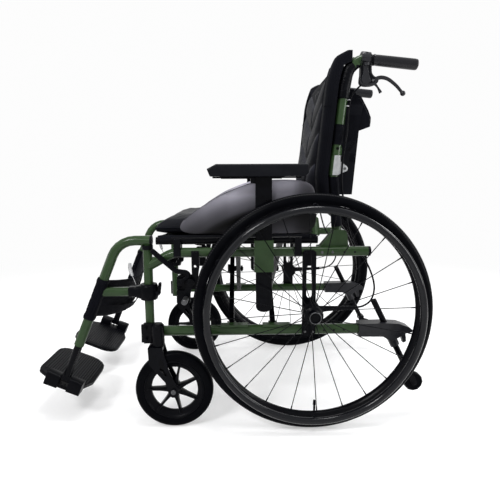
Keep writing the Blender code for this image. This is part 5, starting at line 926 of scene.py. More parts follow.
# Soft pieces
RAIL_Y, RAIL_Z, RAIL_RADIUS = 0.2185, 0.478, 0.010
POCKET_LOW, POCKET_HIGH, POCKET_STANDOFF = 0.592, 0.862, 0.0440
CHEVRON_PITCH, CHEVRON_SLOPE, CHEVRON_BASE = 0.0825, 0.46, 0.6050
SLING_HALF = 0.2265
SEAT_SAG = 0.012
FABRIC = 0.0003
CLOTH_FRAMES = 20
# The back's upholstery: heights of its foot, the pad's top and the shell's top, and where the hinge parts it
BACK_FOOT, PAD_TOP, SHELL_TOP, BACK_PARTING = 0.578, 0.908, 0.948, 0.6605
PAD_HALF, SHELL_HALF, POCKET_HALF, FLAP_HALF = 0.160, 0.212, 0.174, 0.1695
# The lower cane's foot and waist as x and z, and how far back and up it runs above them
CANE_FOOT, CANE_WAIST, CANE_RISE = (0.079, 0.449), (0.0625, 0.6425), (0.018, 0.1755)


def sag_at(y):
    """How far the sling hangs below its rails."""
    return SEAT_SAG * (1 - min(1.0, (y / SLING_HALF / 0.93) ** 2))


def cloth(obj, pinned, pressure, cap):
    """Inflate a closed mesh between its pinned vertices, each of which may move no further than the cap."""
    rest = [v.co.copy() for v in obj.data.vertices]
    group = obj.vertex_groups.new(name="pin")
    group.add(pinned, 1.0, "REPLACE")
    modifier = obj.modifiers.new("cloth", "CLOTH")
    settings = modifier.settings
    settings.quality = 6
    settings.mass = 0.2
    settings.tension_stiffness = settings.compression_stiffness = settings.shear_stiffness = 12
    settings.bending_stiffness = 0.8
    settings.use_pressure = True
    settings.uniform_pressure_force = pressure
    settings.vertex_group_mass = "pin"
    settings.effector_weights.gravity = 0
    modifier.collision_settings.use_collision = False
    scene = bpy.context.scene
    scene.frame_start, scene.frame_end = 1, CLOTH_FRAMES
    modifier.point_cache.frame_start, modifier.point_cache.frame_end = 1, CLOTH_FRAMES
    for step in range(1, CLOTH_FRAMES + 1):
        scene.frame_set(step)
    shaped = obj.evaluated_get(bpy.context.evaluated_depsgraph_get()).to_mesh()
    moved = [v.co.copy() for v in shaped.vertices]
    obj.modifiers.remove(modifier)
    scene.frame_set(1)
    held = set(pinned)
    for index, vertex in enumerate(obj.data.vertices):
        if index in held:
            continue
        step = moved[index] - rest[index]
        if step.length > cap:
            step = step * (cap / step.length)
        vertex.co = rest[index] + step
    obj.vertex_groups.clear()
    obj.data.update()


def grid_solid(front, rear, rows, columns):
    """A closed sheet-like solid between two grids of points, and the index of each one's vertices."""
    bm = bmesh.new()
    near = {k: bm.verts.new(front[k]) for k in front}
    far = {k: bm.verts.new(rear[k]) for k in rear}
    for i in range(rows):
        for j in range(columns):
            a, b, c, d = (i, j), (i, j + 1), (i + 1, j + 1), (i + 1, j)
            bm.faces.new([near[k] for k in (a, d, c, b)])
            bm.faces.new([far[k] for k in (a, b, c, d)])
    edges = [((i, j), (i + 1, j)) for i in range(rows) for j in (0, columns)]
    edges += [((i, j), (i, j + 1)) for j in range(columns) for i in (0, rows)]
    for a, b in edges:
        bm.faces.new((near[a], near[b], far[b], far[a]))
    bm.verts.index_update()
    places = [{k: vertex.index for k, vertex in grid.items()} for grid in (near, far)]
    return new_mesh(bm), *places


def cushion_grids(rows, columns):
    """The cushion's upper and lower grids of points, and the keys of those on its edge."""
    front_x, rear_x, half_width = -0.41256, 0.026, 0.205
    front_height, full_height, slack = 0.0155, 0.049, 0.003
    rest = RAIL_Z + RAIL_RADIUS + FABRIC + 0.004 + 0.0012
    middle, half_length = (front_x + rear_x) / 2, (rear_x - front_x) / 2
    top, low, rim = {}, {}, []
    for i in range(rows + 1):
        for j in range(columns + 1):
            u, v = share_at(i, rows), share_at(j, columns)
            u = math.copysign(abs(u) ** 0.82, u)
            v = math.copysign(abs(v) ** 0.82, v)
            squeeze = 1 - 0.040 * max(0.0, 1 - (u * 1.15) ** 2) * abs(v) ** 3
            draw = 1 - 0.030 * (1 - v * v) * abs(u) ** 8
            trim = 1 - (0.16 if u > 0 else 0.06) * max(0.0, abs(u) + abs(v) - 1.35)
            x = middle + (half_length - slack) * u * trim * draw
            y = (half_width - slack) * v * squeeze * trim
            edge = max(0.0, (1 - abs(u) ** 11) * (1 - abs(v) ** 9))
            front = 0.50 + 0.50 * math.sin(min(1.0, 6.0 * (u + 1)) * math.pi / 2)
            crown = 0.007 * (1 - v * v) * math.sin(math.pi * min(1.0, (u + 1) / 1.7))
            height = front_height + (full_height - front_height) * front * edge**0.40 + crown * edge
            base = rest - sag_at(y) * edge
            top[i, j] = (x, y, base + height)
            low[i, j] = (x, y, base + 0.0055 * (1 - edge**0.5))
            if edge < 1e-9:
                rim.append((i, j))
    return top, low, rim


def seat_cushion():
    """A crowned cushion of fabric over foam, with drawn-in sides, a soft front roll and a welt."""
    rows, columns = 64, 60
    top, low, rim = cushion_grids(rows, columns)
    mesh, near, far = grid_solid(top, low, rows, columns)
    obj = piece("seat_cushion_cover", mesh, "left_frame", "seat_fabric", "black_fabric", ("seat_cushion",),
                limit=80, ride=False)
    held = [*far.values(), *(near[k] for k in rim)]
    held += [near[rows // 2, j] for j in range(7, columns - 6)]
    cloth(obj, sorted(set(held)), 3.0, 0.0045)
    wrinkle(obj, 0.0011, 26)
    subdivided(obj)
    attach(obj, "left_frame")
    folding(obj)
    seam = [Vector((top[k][0], top[k][1], (top[k][2] + low[k][2]) / 2 + 0.0035)) for k in ring_of(rows,
                                                                                                  columns)]
    folding(piece("seat_cushion_welt", tube(seam, 0.0021, 8, closed=True), "left_frame", "black_fabric",
                  limit=80))


def ring_of(rows, columns):
    """The keys round a grid's edge."""
    keys = [(0, j) for j in range(columns)] + [(i, columns) for i in range(rows)]
    keys += [(rows, j) for j in range(columns, 0, -1)] + [(i, 0) for i in range(rows, 0, -1)]
    return keys


def wrinkle(obj, height, scale):
    """Soft uneven folds along the normals."""
    mesh = obj.data
    normals = [v.normal.copy() for v in mesh.vertices]
    for vertex, normal in zip(mesh.vertices, normals):
        shift = noise.noise(vertex.co * scale) * 0.7 + noise.noise(vertex.co * scale * 2.3) * 0.3
        vertex.co += normal * (shift * height - height * 0.3)
    mesh.update()


def subdivided(obj):
    """Apply a subdivision so that the mesh is final."""
    modifier = obj.modifiers.new("finer", "SUBSURF")
    modifier.levels = modifier.render_levels = 1
    shaped = bpy.data.meshes.new_from_object(obj.evaluated_get(bpy.context.evaluated_depsgraph_get()))
    obj.modifiers.clear()
    old = obj.data
    obj.data = shaped
    bpy.data.meshes.remove(old)
    for polygon in obj.data.polygons:
        polygon.use_smooth = True


def folding(obj):
    """Give a soft piece its own copy of its mesh."""
    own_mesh(obj)


def seat_sling():
    """The fabric seat over the rails, doubled into hems at its edges."""
    front_x, rear_x = -0.392, 0.018
    rows, columns = 40, 44
    top, low = {}, {}
    edge_z = RAIL_Z + RAIL_RADIUS + FABRIC
    for i in range(rows + 1):
        x = front_x + (rear_x - front_x) * i / rows
        for j in range(columns + 1):
            v = share_at(j, columns)
            y = SLING_HALF * v
            over = max(0.0, (abs(y) - RAIL_Y + 0.002) / (SLING_HALF - RAIL_Y + 0.002))
            z = edge_z - sag_at(y) - 0.0075 * over**2
            ripple = 0.0006 * noise.noise(Vector((x * 30, y * 9, 0)))
            hem = 0.0012 if i in (1, 2, 3, rows - 3, rows - 2, rows - 1) else 0.0
            top[i, j] = (x, y, z + 0.0026 + hem + ripple)
            low[i, j] = (x, y, z - (0.0 if abs(v) > 0.9 else 0.0004) + ripple)
    mesh = grid_solid(top, low, rows, columns)[0]
    obj = piece("seat_sling_cloth", mesh, "left_frame", "black_fabric", nodes=("seat_sling",), limit=80)
    folding(obj)


def cane_x(z):
    """The cane's middle line: straight up to its waist, then leaning and curving back."""
    waist_x, waist_z = CANE_WAIST
    if z < waist_z:
        return CANE_FOOT[0] + (waist_x - CANE_FOOT[0]) * (z - CANE_FOOT[1]) / (waist_z - CANE_FOOT[1])
    share = (z - waist_z) / CANE_RISE[1]
    return waist_x + CANE_RISE[0] * share + 1.1 * max(0.0, z - 0.86) ** 1.7


def shell_back(z):
    """Where the shell's back lies, in front of the cane."""
    return cane_x(z) - CANE_RADIUS - 0.003 - 0.0009


def pad_depth(level):
    """The pad's depth, which lessens towards its top."""
    return 0.031 * (1 - 0.66 * (level - BACK_FOOT) / (PAD_TOP - BACK_FOOT))


def split_back(name, mesh, finish, nodes=(), limit=80):
    """A back piece in two parts, above and below the back's hinge, which fold with the frame."""
    for part, body, inner in (("upper", "left_upper_back", True), ("lower", "left_frame", False)):
        bm = bmesh.new()
        bm.from_mesh(mesh)
        geometry = bm.verts[:] + bm.edges[:] + bm.faces[:]
        cut = bmesh.ops.bisect_plane(bm, geom=geometry, plane_co=(0, 0, BACK_PARTING), plane_no=(0, 0, 1),
                                     clear_inner=inner, clear_outer=not inner)
        edges = [item for item in cut["geom_cut"] if isinstance(item, bmesh.types.BMEdge)]
        if not bm.verts:
            bm.free()
            continue
        if edges:
            bmesh.ops.holes_fill(bm, edges=edges, sides=0)
        shape = bpy.data.meshes.new("shape")
        bm.to_mesh(shape)
        bm.free()
        obj = piece(f"{name}_{part}", shape, body, finish, nodes=nodes, limit=limit)
        folding(obj)
    bpy.data.meshes.remove(mesh)


def back_shell():
    """The upholstered shell, with wings that wrap forward of the canes and dip between their tips."""
    columns, rows = 72, 72
    front, rear = {}, {}
    for i in range(rows + 1):
        level = BACK_FOOT + (SHELL_TOP - BACK_FOOT) * i / rows
        above = max(0.0, (level - 0.902) / 0.046)
        for j in range(columns + 1):
            share = share_at(j, columns)
            share = math.copysign(abs(share) ** 0.72, share)
            y = share * SHELL_HALF
            dip = clamped((0.93 - abs(share)) / 0.20)
            dip = dip * dip * (3 - 2 * dip)
            z = level - 0.035 * above * dip
            back = shell_back(z)
            round_side = (1 - clamped((abs(share) - 0.90) / 0.10) ** 2.2) ** 0.5
            border = clamped((abs(y) - 0.158) / 0.012)
            depth = (0.0215 + 0.0065 * border) * (0.34 + 0.66 * round_side)
            ends = max(0.0, min(1.0, (level - BACK_FOOT) / 0.012, (SHELL_TOP - level) / 0.016))
            depth *= 0.30 + 0.70 * math.sin(ends * math.pi / 2)
            lobe = min(0.1015 - back, 0.02 * clamped((level - 0.914) / 0.010)) if abs(y) > 0.2070 else 0.0
            front[i, j] = (back - depth, y, z)
            rear[i, j] = (back + lobe, y, z)
    return grid_solid(front, rear, rows, columns)[0]


def border_seams():
    """The piping along the inner edge of each wing, and the short seam across it."""
    lines = []
    for side in (-1, 1):
        heights = [0.590 + 0.325 * k / 40 for k in range(41)]
        lines.append(tube([Vector((shell_back(z) - 0.0272, side * 0.1665, z)) for z in heights], 0.0019, 8))
        z = 0.8155
        across = []
        for k in range(13):
            y = 0.168 + 0.0435 * k / 12
            dip = 0.0272 if y < 0.200 else 0.0272 - 0.015 * ((y - 0.200) / 0.0115) ** 2
            across.append(Vector((shell_back(z) - dip - 0.0006, side * y, z)))
        lines.append(tube(across, 0.0009, 6))
    return joined(lines)


def seam_distance(y, z):
    """Distance to the nearest V-shaped seam."""
    rise = (z - CHEVRON_SLOPE * abs(y) - CHEVRON_BASE) / CHEVRON_PITCH
    share = rise - math.floor(rise)
    return min(share, 1 - share) * CHEVRON_PITCH * 0.9


def back_pad():
    """The quilted front pad. Its cloth is held along the V-shaped seams, the middle seam and the edges."""
    rows, columns = 84, 80
    front, rear, held = {}, {}, []
    for i in range(rows + 1):
        level = BACK_FOOT + 0.330 * i / rows
        for j in range(columns + 1):
            share = share_at(j, columns)
            y = share * PAD_HALF
            ends = min(1.0, max(0.0, (PAD_TOP - level) / 0.030) ** 0.6 * 0.75 + 0.30)
            foot = min(1.0, 0.45 + max(0.0, (level - BACK_FOOT) / 0.020) ** 0.6)
            bulge = max(0.0, 1 - abs(share) ** 6) ** 0.5
            hollow = 0.003 + 0.0095 * (1 - share * share)
            depth = 0.024 + max(0.0015, pad_depth(level) * bulge * ends * foot - 0.0012) - hollow * bulge
            away = seam_distance(y, level)
            middle = min(abs(y) / 0.0055, 1.0)
            rise = math.sin(min(1.0, away / 0.020) * math.pi / 2)
            puff = 0.0066 * rise * (0.25 + 0.75 * middle) * bulge * ends
            back = shell_back(level)
            front[i, j] = (back - depth + 0.0060 - puff, y, level)
            rear[i, j] = (back - 0.006, y, level)
            if i in (0, rows) or j in (0, columns) or away < 0.0024 or j == columns // 2:
                held.append((i, j))
    mesh, near, far = grid_solid(front, rear, rows, columns)
    obj = piece("pad_shape", mesh, "left_frame", "pad_charcoal", limit=80, ride=False)
    cloth(obj, sorted({*far.values(), *(near[k] for k in held)}), 2.2, 0.0024)
    wrinkle(obj, 0.0005, 60)
    subdivided(obj)
    mesh = obj.data
    bpy.data.objects.remove(obj)
    mesh.transform(Matrix.Translation((-SHIFT, 0, 0)))
    return mesh


def pocket_rear(z):
    """How far back the rear panel stands at a height."""
    t = (z - POCKET_LOW) / (POCKET_HIGH - POCKET_LOW)
    rear = flap_root()
    rear += 0.0140 * min(1.0, t / 0.606) + 0.0096 * clamped((t - 0.606) / 0.242)
    return rear - 0.0266 * max(0.0, (t - 0.848) / 0.152)


def flap_root():
    """How far back the rear panel stands at its foot."""
    return cane_x(POCKET_LOW) + CANE_RADIUS + POCKET_STANDOFF


def back_pocket():
    """The rear panel behind the canes, slack at its middle, with hems and a seam near its edges."""
    rows, columns = 52, 48
    front, rear = {}, {}
    for i in range(rows + 1):
        z = POCKET_LOW + (POCKET_HIGH - POCKET_LOW) * i / rows
        for j in range(columns + 1):
            share = share_at(j, columns)
            y = share * POCKET_HALF
            side = max(0.0, 1 - abs(share) ** 10)
            slack = 0.0026 * noise.noise(Vector((y * 14, z * 17, 3)))
            seam = 0.0012 if 0.90 < abs(share) < 0.925 else 0.0
            rear[i, j] = (cane_x(z) - CANE_RADIUS - 0.010, y, z)
            front[i, j] = (pocket_rear(z) - 0.0040 * (1 - side) + slack * side - seam - 0.0016, y, z)
    return grid_solid(front, rear, rows, columns)[0]


def back_flap():
    """The pocket's flap, standing away from the panel as its stiffened cloth does."""
    rear, high = flap_root(), POCKET_HIGH
    outline = [(rear + 0.006, high - 0.1045), (rear + 0.0240, high - 0.0995), (rear + 0.0412, high - 0.0935),
               (rear + 0.0428, high - 0.0820), (rear + 0.0431, high - 0.0700),
               (rear + 0.0350, high - 0.0520), (rear + 0.0155, high - 0.0180), (rear + 0.003, high - 0.0130),
               (rear - 0.004, high - 0.050)]
    rings = []
    for j in range(49):
        share = share_at(j, 48)
        y = share * FLAP_HALF
        pull = 0.93 if abs(share) > 0.975 else 1 - 0.06 * (1 - abs(share) ** 6)
        ring = []
        for x, z in outline:
            wave = 0.0020 * noise.noise(Vector((y * 16, x * 20, z * 20)))
            ring.append((rear + (x - rear) * pull + wave - 0.0005, y, z))
        rings.append(ring)
    return lofted(rings)


def flap_stitches():
    """A row of stitches down each end of the flap."""
    rear, high = flap_root(), POCKET_HIGH
    line = [(rear + 0.004, high - 0.020), (rear + 0.0125, high - 0.0245), (rear + 0.0385, high - 0.0725),
            (rear + 0.0375, high - 0.0905)]
    parts = []
    for side in (-1, 1):
        for (x0, z0), (x1, z1) in zip(line, line[1:]):
            count = max(1, int(math.hypot(x1 - x0, z1 - z0) / 0.0042))
            for k in range(count):
                spots = []
                for share in ((k + 0.15) / count, (k + 0.75) / count):
                    spots.append((x0 + (x1 - x0) * share, side * 0.1697, z0 + (z1 - z0) * share))
                parts.append(rod(*spots, 0.00045, 6))
    return joined(parts)


def back_pieces():
    """The back's upholstery, all of it."""
    cover = ("back_rest",)
    split_back("back_shell", back_shell(), "black_fabric", cover)
    split_back("back_pad", back_pad(), "pad_charcoal", cover)
    split_back("back_pocket", back_pocket(), "black_fabric", cover)
    split_back("back_flap", back_flap(), "black_fabric", cover, limit=50)
    split_back("back_piping", border_seams(), "black_fabric")
    split_back("flap_stitches", flap_stitches(), "thread")


# The calf band's sleeves: down the hanger, out of its plane, their upper end and their length
HANGER_LEAN = math.radians(22.65)
CALF_DOWN = Vector((-math.sin(HANGER_LEAN), 0, -math.cos(HANGER_LEAN)))
CALF_OUT = Vector((CALF_DOWN.z, 0, -CALF_DOWN.x))
CALF_TOP = Vector((-0.60306, 0, 0.207)) - CALF_DOWN * 0.190
CALF_LENGTH = 0.112


def heel_strap():
    """A narrow strap slung behind the heels from one hanger to the other."""
    section = ((-0.0105, 0), (0.0105, 0), (0.0105, 0.0016), (-0.0105, 0.0016))
    rings = []
    for k in range(49):
        share = share_at(k, 48)
        slung = 1 - share * share
        x = -0.5640 + 0.0560 * slung
        z = 0.3080 - 0.0480 * slung
        lean = 0.35 + 0.25 * slung
        c, s = math.cos(lean), math.sin(lean)
        rings.append([(x + a * s + b * c, share * 0.221, z + a * c - b * s) for a, b in section])
    return lofted(rings)


def calf_band():
    """The slung band, rippled, with a hem along each edge."""
    reach = SIDE_Y - 0.0123 + 0.001
    rows, columns = 26, 64
    near, far = {}, {}
    for i in range(rows + 1):
        t = i / rows
        hem = 0.0009 if i in (1, 2, rows - 2, rows - 1) else 0.0
        for j in range(columns + 1):
            share = share_at(j, columns)
            slung = 1 - share * share
            depth = (0.0500 + 0.0020 * t) * slung
            low = 0.002 * slung
            drop = 0.004 + 0.010 * slung + (CALF_LENGTH - 0.008 + 0.004 * slung) * t + low * t
            ripple = 0.0030 * noise.noise(Vector((share * 5, t * 1.7, 1))) * (1 - abs(share) ** 3)
            ripple += 0.0010 * math.sin(share * 26 + t * 7) * (1 - abs(share)) * (0.3 + t)
            base = CALF_TOP + Vector((0, share * reach, 0)) - CALF_OUT * (depth + 0.0022 + ripple)
            base += CALF_DOWN * drop
            near[i, j] = base - CALF_OUT * (0.0028 + hem)
            far[i, j] = base + CALF_OUT * hem
    return grid_solid(near, far, rows, columns)[0]


def calf_webbing():
    """The tightening straps that run down across the band from both sides."""
    reach = SIDE_Y - 0.0123 + 0.001
    section = ((-0.010, 0), (0.010, 0), (0.010, 0.0014), (-0.010, 0.0014))
    straps = []
    for side in (-1, 1):
        rings = []
        for k in range(31):
            t = k / 30
            share = side * (0.93 - 0.86 * t)
            slung = 1 - share * share
            base = CALF_TOP + Vector((0, share * reach, 0)) - CALF_OUT * (0.0512 * slung + 0.0062)
            base += CALF_DOWN * (0.030 + 0.060 * t)
            rings.append([base + CALF_DOWN * a - CALF_OUT * b for a, b in section])
        straps.append(lofted(rings))
    return joined(straps)


def calf_sleeve(sign):
    """The sleeve that holds the band on a hanger, with a hem at each end."""
    rings = []
    for k in range(27):
        t = k / 26
        hem = 0.0009 if k in (1, 2, 24, 25) else 0.0
        size = 0.0145 + hem + 0.0009 * noise.noise(Vector((t * 9, sign, 0)))
        centre = CALF_TOP + CALF_DOWN * (CALF_LENGTH * t) + Vector((0, sign * SIDE_Y, 0))
        ring = []
        for c, s in on_circle(36):
            flat = 1 / max(abs(c), abs(s)) ** 0.45
            fold = 1 + 0.03 * noise.noise(Vector((c * 2, s * 2, t * 5 + sign)))
            ring.append(centre + Vector((0, c * size * flat * fold,
                                         0)) + CALF_OUT * (s * size * flat * fold))
        rings.append(ring)
    return lofted(rings)


def calf_strap():
    """The calf band with its tightening straps, the strap behind the heels, and the band's sleeves."""
    band = piece("calf_band", calf_band(), "left_hanger", "black_fabric", nodes=("calf_strap",), limit=80)
    folding(band)
    folding(piece("calf_webbing", calf_webbing(), "left_hanger", "black_fabric", limit=50))
    strap = piece("heel_strap", heel_strap(), "left_hanger", "black_fabric", limit=50)
    folding(strap)
    for side, sign in zip(SIDES, (-1, 1)):
        sleeve = piece(f"{side}_calf_sleeve", calf_sleeve(sign), f"{side}_hanger", "black_fabric",
                       nodes=("calf_strap",), limit=50)


# Rigid pieces beside the CAD nodes
def skirt_guard():
    """The side panel, slightly domed."""
    outline = smooth_curve([(x, 0, z) for x, z in GUARD_LINE], 6)
    outline = outline[:-1] if (outline[0] - outline[-1]).length < 1e-4 else outline
    middle = Vector((-0.15, 0, 0.550))
    rings = []
    for share, y in ((1.0, 0.2432), (1.0, 0.2448), (0.985, 0.2466), (0.95, 0.2478), (0.86, 0.2486),
                     (0.6, 0.2490), (0.3, 0.2492)):
        spots = [middle.lerp(point, share) for point in outline]
        rings.append([at(spot.x, spot.z, y) for spot in spots])
    return lofted(rings)


def guard_edge_line():
    """A thin dark line just below the panel's upper edge."""
    return tube(smooth_curve([at(x, z - 0.0008, 0.2489) for x, z in GUARD_LINE[4:12]], 8), 0.00055, 6)


def cane_sleeve():
    """The cloth sleeve round the upper cane."""
    heights = (0.7199, 0.7250, 0.7365, 0.7450, 0.7560, 0.7650, 0.7697)
    return sleeve_along(along_cane(*((upper_line(z), z) for z in heights)), 0.0133)


def lower_sleeve():
    """The cloth sleeve round the lower cane."""
    heights = (0.510, 0.530, 0.552, 0.575, 0.597, 0.618, 0.632, 0.6385)
    return sleeve_along(along_cane(*((cane_x(z), z) for z in heights)), 0.0134)


def upper_line(z):
    """The upper cane's middle line below its boot."""
    (low_x, low_z), (high_x, high_z) = UPPER_CANE
    return low_x + (high_x - low_x) * (z - low_z) / (high_z - low_z)


def sleeve_along(points, radius):
    """A slightly uneven sleeve, thicker at its hems."""

    def width(t):
        return radius + 0.0003 * math.sin(19 * t) + (0.0005 if t < 0.03 or t > 0.97 else 0)

    return tube(smooth_curve(points, 4), width, 24)


def handle_boot():
    """The ribbed boot round the cane's bend, with a two-part cuff at its foot."""
    low = along_cane((0.0821, 0.8338), (0.0829, 0.8430), (0.0836, 0.8520))
    cuff = tube(smooth_curve(low, 5), lambda t: 0.0158 - 0.0006 * (t < 0.06), 28)
    mid = along_cane((0.0836, 0.8520), (0.0844, 0.8600), (0.0862, 0.8712))
    collar = tube(smooth_curve(mid, 5), lambda t: 0.0148 + 0.0008 * (t > 0.93), 28)
    high = along_cane((0.0862, 0.8712), (0.0890, 0.8822), (0.0930, 0.8960), (0.0985, 0.9075),
                      (0.1042, 0.9142))
    ribbed = tube(smooth_curve(high, 14),
                  lambda t: 0.0150 - 0.0010 * t + 0.0007 * math.sin(math.tau * 5.5 * t), 28)
    return joined([cuff, collar, ribbed])


def push_grip():
    """The moulded grip with its collar and rounded end."""
    profile = [(0.0118, 0.0), (0.0134, 0.0004), (0.0140, 0.0014), (0.0140, 0.0040), (0.0133, 0.0052),
               (0.0135, 0.0120), (0.0138, 0.0500), (0.0139, 0.0950), (0.0139, 0.1060), (0.0136, 0.1100),
               (0.0126, 0.1126), (0.0106, 0.1138), (0.0, 0.1140)]
    return turned(profile, at(0.1568, 0.9286, CANE_Y), GRIP_WAY, 48)


def cane_bend():
    """The painted tube where it shows between the boot and the lever clamp."""
    line = along_cane((0.0990, 0.9090), (0.1074, 0.9166), (0.1157, 0.9226), (0.1240, 0.9272))
    return tube(smooth_curve(line, 6), 0.01262, 32)


def perch_details():
    """The lever clamp: its ring and its moulded body with a raised middle."""
    parts = [turned(((0.0140, -0.0125), (0.0172, -0.0120), (0.0180, -0.0100), (0.0180, 0.0090),
                     (0.0172, 0.0110), (0.0140, 0.0115)), at(0.1372, 0.9300, CANE_Y), GRIP_WAY, 36)]
    body = [(0.1225, 0.9260), (0.1500, 0.9230), (0.1528, 0.9080), (0.1540, 0.8960), (0.1600, 0.8880),
            (0.1690, 0.8840), (0.1700, 0.8740), (0.1600, 0.8665), (0.1430, 0.8642), (0.1300, 0.8660),
            (0.1236, 0.8720), (0.1238, 0.8850), (0.1262, 0.9000), (0.1252, 0.9120)]
    raised = [(0.1290, 0.9180), (0.1400, 0.9200), (0.1440, 0.9050), (0.1455, 0.8920), (0.1500, 0.8800),
              (0.1480, 0.8720), (0.1370, 0.8700), (0.1290, 0.8740), (0.1275, 0.8840), (0.1310, 0.8960),
              (0.1310, 0.9080)]
    for outline, low, high in ((body, 0.0052, 0.0082), (raised, 0.0078, 0.0098)):
        curve = smooth_curve([(x, 0, z) for x, z in outline + outline[:1]], 4)[:-1]
        flat = [(point.x, point.z) for point in curve]
        parts.append(prism(flat, -CANE_Y - high, -CANE_Y - low))
        parts.append(prism(flat, -CANE_Y + low, -CANE_Y + high))
    parts.append(rod(at(0.1385, 0.9120, CANE_Y + 0.0088), at(0.1372, 0.9445, CANE_Y + 0.0070), 0.0072, 20,
                     0.0066))
    return joined(parts)


def perch_bolt():
    """The socket screw of the clamp and the lever's pivot screw."""
    socket = ((0, -0.0010), (0.0030, -0.0010), (0.0034, 0.0004), (0.0030, 0.0014), (0.0016, 0.0014),
              (0.0014, 0.0006), (0, 0.0006))
    pivot = ((0, 0.0), (0.0030, 0.0), (0.0030, 0.0016), (0.0012, 0.0016), (0, 0.0010))
    return joined([turned(socket, at(0.1372, 0.9448, CANE_Y + 0.0070), (0.04, 0, 1), 16),
                   turned(pivot, at(*BRAKE_PIVOT, CANE_Y + 0.0082), OUTWARD, 12)])


def brake_lever():
    """The curved lever that swells to its ball, and its small parking catch."""

    def route(steps, *spots):
        return smooth_curve(along_cane(*((BRAKE_PIVOT[0] + x, BRAKE_PIVOT[1] + z) for x, z in spots)), steps)

    blade = route(6, (0.0060, 0.0030), (0.0150, 0.0072), (0.0256, 0.0085), (0.0390, 0.0052),
                  (0.0520, -0.0030), (0.0640, -0.0130), (0.0740, -0.0240), (0.0797, -0.0301))
    catch = route(5, (0.0020, -0.0040), (0.0110, -0.0105), (0.0180, -0.0200), (0.0232, -0.0290))
    size = 0.0068
    ball = [(size * math.sin(math.pi * k / 12), -size * math.cos(math.pi * k / 12)) for k in range(13)]
    boss = ((0, -0.0046), (0.0066, -0.0046), (0.0070, -0.0030), (0.0070, 0.0030), (0.0066, 0.0046),
            (0, 0.0046))
    return joined([tube(blade, lambda t: 0.0046 - 0.0014 * t, 20, flat=1.15),
                   turned(ball, at(0.2360, 0.8475, CANE_Y), (0, 1, 0), 24),
                   tube(catch, lambda t: 0.0034 + 0.0008 * math.cos(math.tau * t), 16),
                   turned(boss, at(*BRAKE_PIVOT, CANE_Y), (0, 1, 0), 24)])


def lock_lever():
    """The hand bar of the wheel lock, bent down to its pivot."""
    y = PLATE_OUTER + 0.0043
    spots = ((-0.4000, 0.4570), (-0.3780, 0.4372), (-0.3560, 0.4175), (-0.3420, 0.4062), (-0.3290, 0.4030),
             (-0.3175, 0.4010), (-0.3115, 0.3945), (-0.3160, 0.3865), (-0.3310, 0.3780))
    line = smooth_curve([at(x, z, y) for x, z in spots], 6)
    bar = tube(line, lambda t: 0.0040 if t < 0.62 else 0.0040 - 0.0004 * (t - 0.62) / 0.38, 18, flat=1.68)
    knob = tube([at(-0.4030, 0.4597, y), at(-0.4000, 0.4570, y)], lambda t: 0.0030 + 0.0010 * t, 18,
                flat=1.68)
    return joined([bar, knob])


def lock_boss():
    """The heads of the lever's and the shoe's pivots."""
    profile = ((0, -0.0002), (0.0096, -0.0002), (0.0100, 0.0004), (0.0096, 0.0010), (0.0062, 0.0012),
               (0.0058, 0.0022), (0.0030, 0.0024), (0.0026, 0.0012), (0, 0.0012))
    return joined([turned(profile, at(*pivot, PLATE_OUTER + out), OUTWARD, 24)
                   for pivot, out in ((LOCK_PIVOT, 0.0084), (SHOE_PIVOT, 0.0143))])


def lock_block():
    """The moulded block on the lock's plate."""
    outline = [(-0.3425, 0.3232), (-0.3090, 0.3240), (-0.3085, 0.3550), (-0.3415, 0.3565)]
    edge = [(-0.3405, 0.3590), (-0.3300, 0.3600), (-0.3300, 0.3635), (-0.3400, 0.3635)]
    return joined([prism(outline, -0.2574, -0.2480), prism(edge, -0.2560, -0.2480)])


def lock_arm():
    """The arm between the shoe's pivot and its pin."""
    return prism(stadium(SHOE_PIVOT, SHOE_PIN, 0.0080, 12), -PLATE_OUTER - 0.0142, -PLATE_OUTER - 0.0088)


def lock_pin():
    """The knurled pin that presses into the tyre."""
    along, across, up = axis_frame(OUTWARD)
    centre = Vector((SHOE_PIN[0], 0, SHOE_PIN[1]))
    rings = []
    for k in range(31):
        base = centre + along * (0.2586 + 0.0417 * k / 30)
        ring = []
        for m, (c, s) in enumerate(on_circle(60)):
            knurl = 0.0004 * (1 if (m + k) % 3 == 0 else 0) if 2 < k < 29 else -0.0006 * (k in (0, 30))
            ring.append(base + (across * c + up * s) * (0.0070 + knurl))
        rings.append(ring)
    return lofted(rings)


def catch_housing():
    """The rounded catch that seats the hanger's cross tube on the front post."""
    profile = ((0.0136, -0.0205), (0.0195, -0.0200), (0.0222, -0.0170), (0.0238, -0.0110), (0.0246, -0.0020),
               (0.0244, 0.0070), (0.0232, 0.0140), (0.0208, 0.0188), (0.0170, 0.0205), (0.0136, 0.0207))
    rings = []
    for x, half in ((-0.4668, 0.0118), (-0.4655, 0.0131), (-0.4560, 0.0134), (-0.4500, 0.0128),
                    (-0.4380, 0.0170), (-0.4300, 0.0185)):
        ring = []
        for c, s in on_circle(24):
            size = half / (abs(c) ** 5 + abs(s) ** 5) ** 0.2
            ring.append((x, -SIDE_Y + c * size, CROSS_Z + s * size))
        rings.append(ring)
    return joined([turned(profile, at(POST_X, CROSS_Z), (0, 0, 1), 40), lofted(rings)])


def catch_pull():
    """The wire and finger plate that draw the catch."""
    wire = [at(x, z, 0.2236) for x, z in ((-0.4540, 0.3740), (-0.4600, 0.3900))]
    wire.insert(0, at(-0.4490, 0.3590, 0.2240))
    plate = [at(x, z, 0.2236) for x, z in ((-0.4592, 0.3880), (-0.4622, 0.3985), (-0.4645, 0.4090),
                                           (-0.4640, 0.4215))]
    return joined([tube(smooth_curve(wire, 4), 0.0011, 8),
                   tube(smooth_curve(plate, 5), lambda t: 0.0016 + 0.0006 * math.sin(math.pi * t), 10,
                        flat=2.3)])


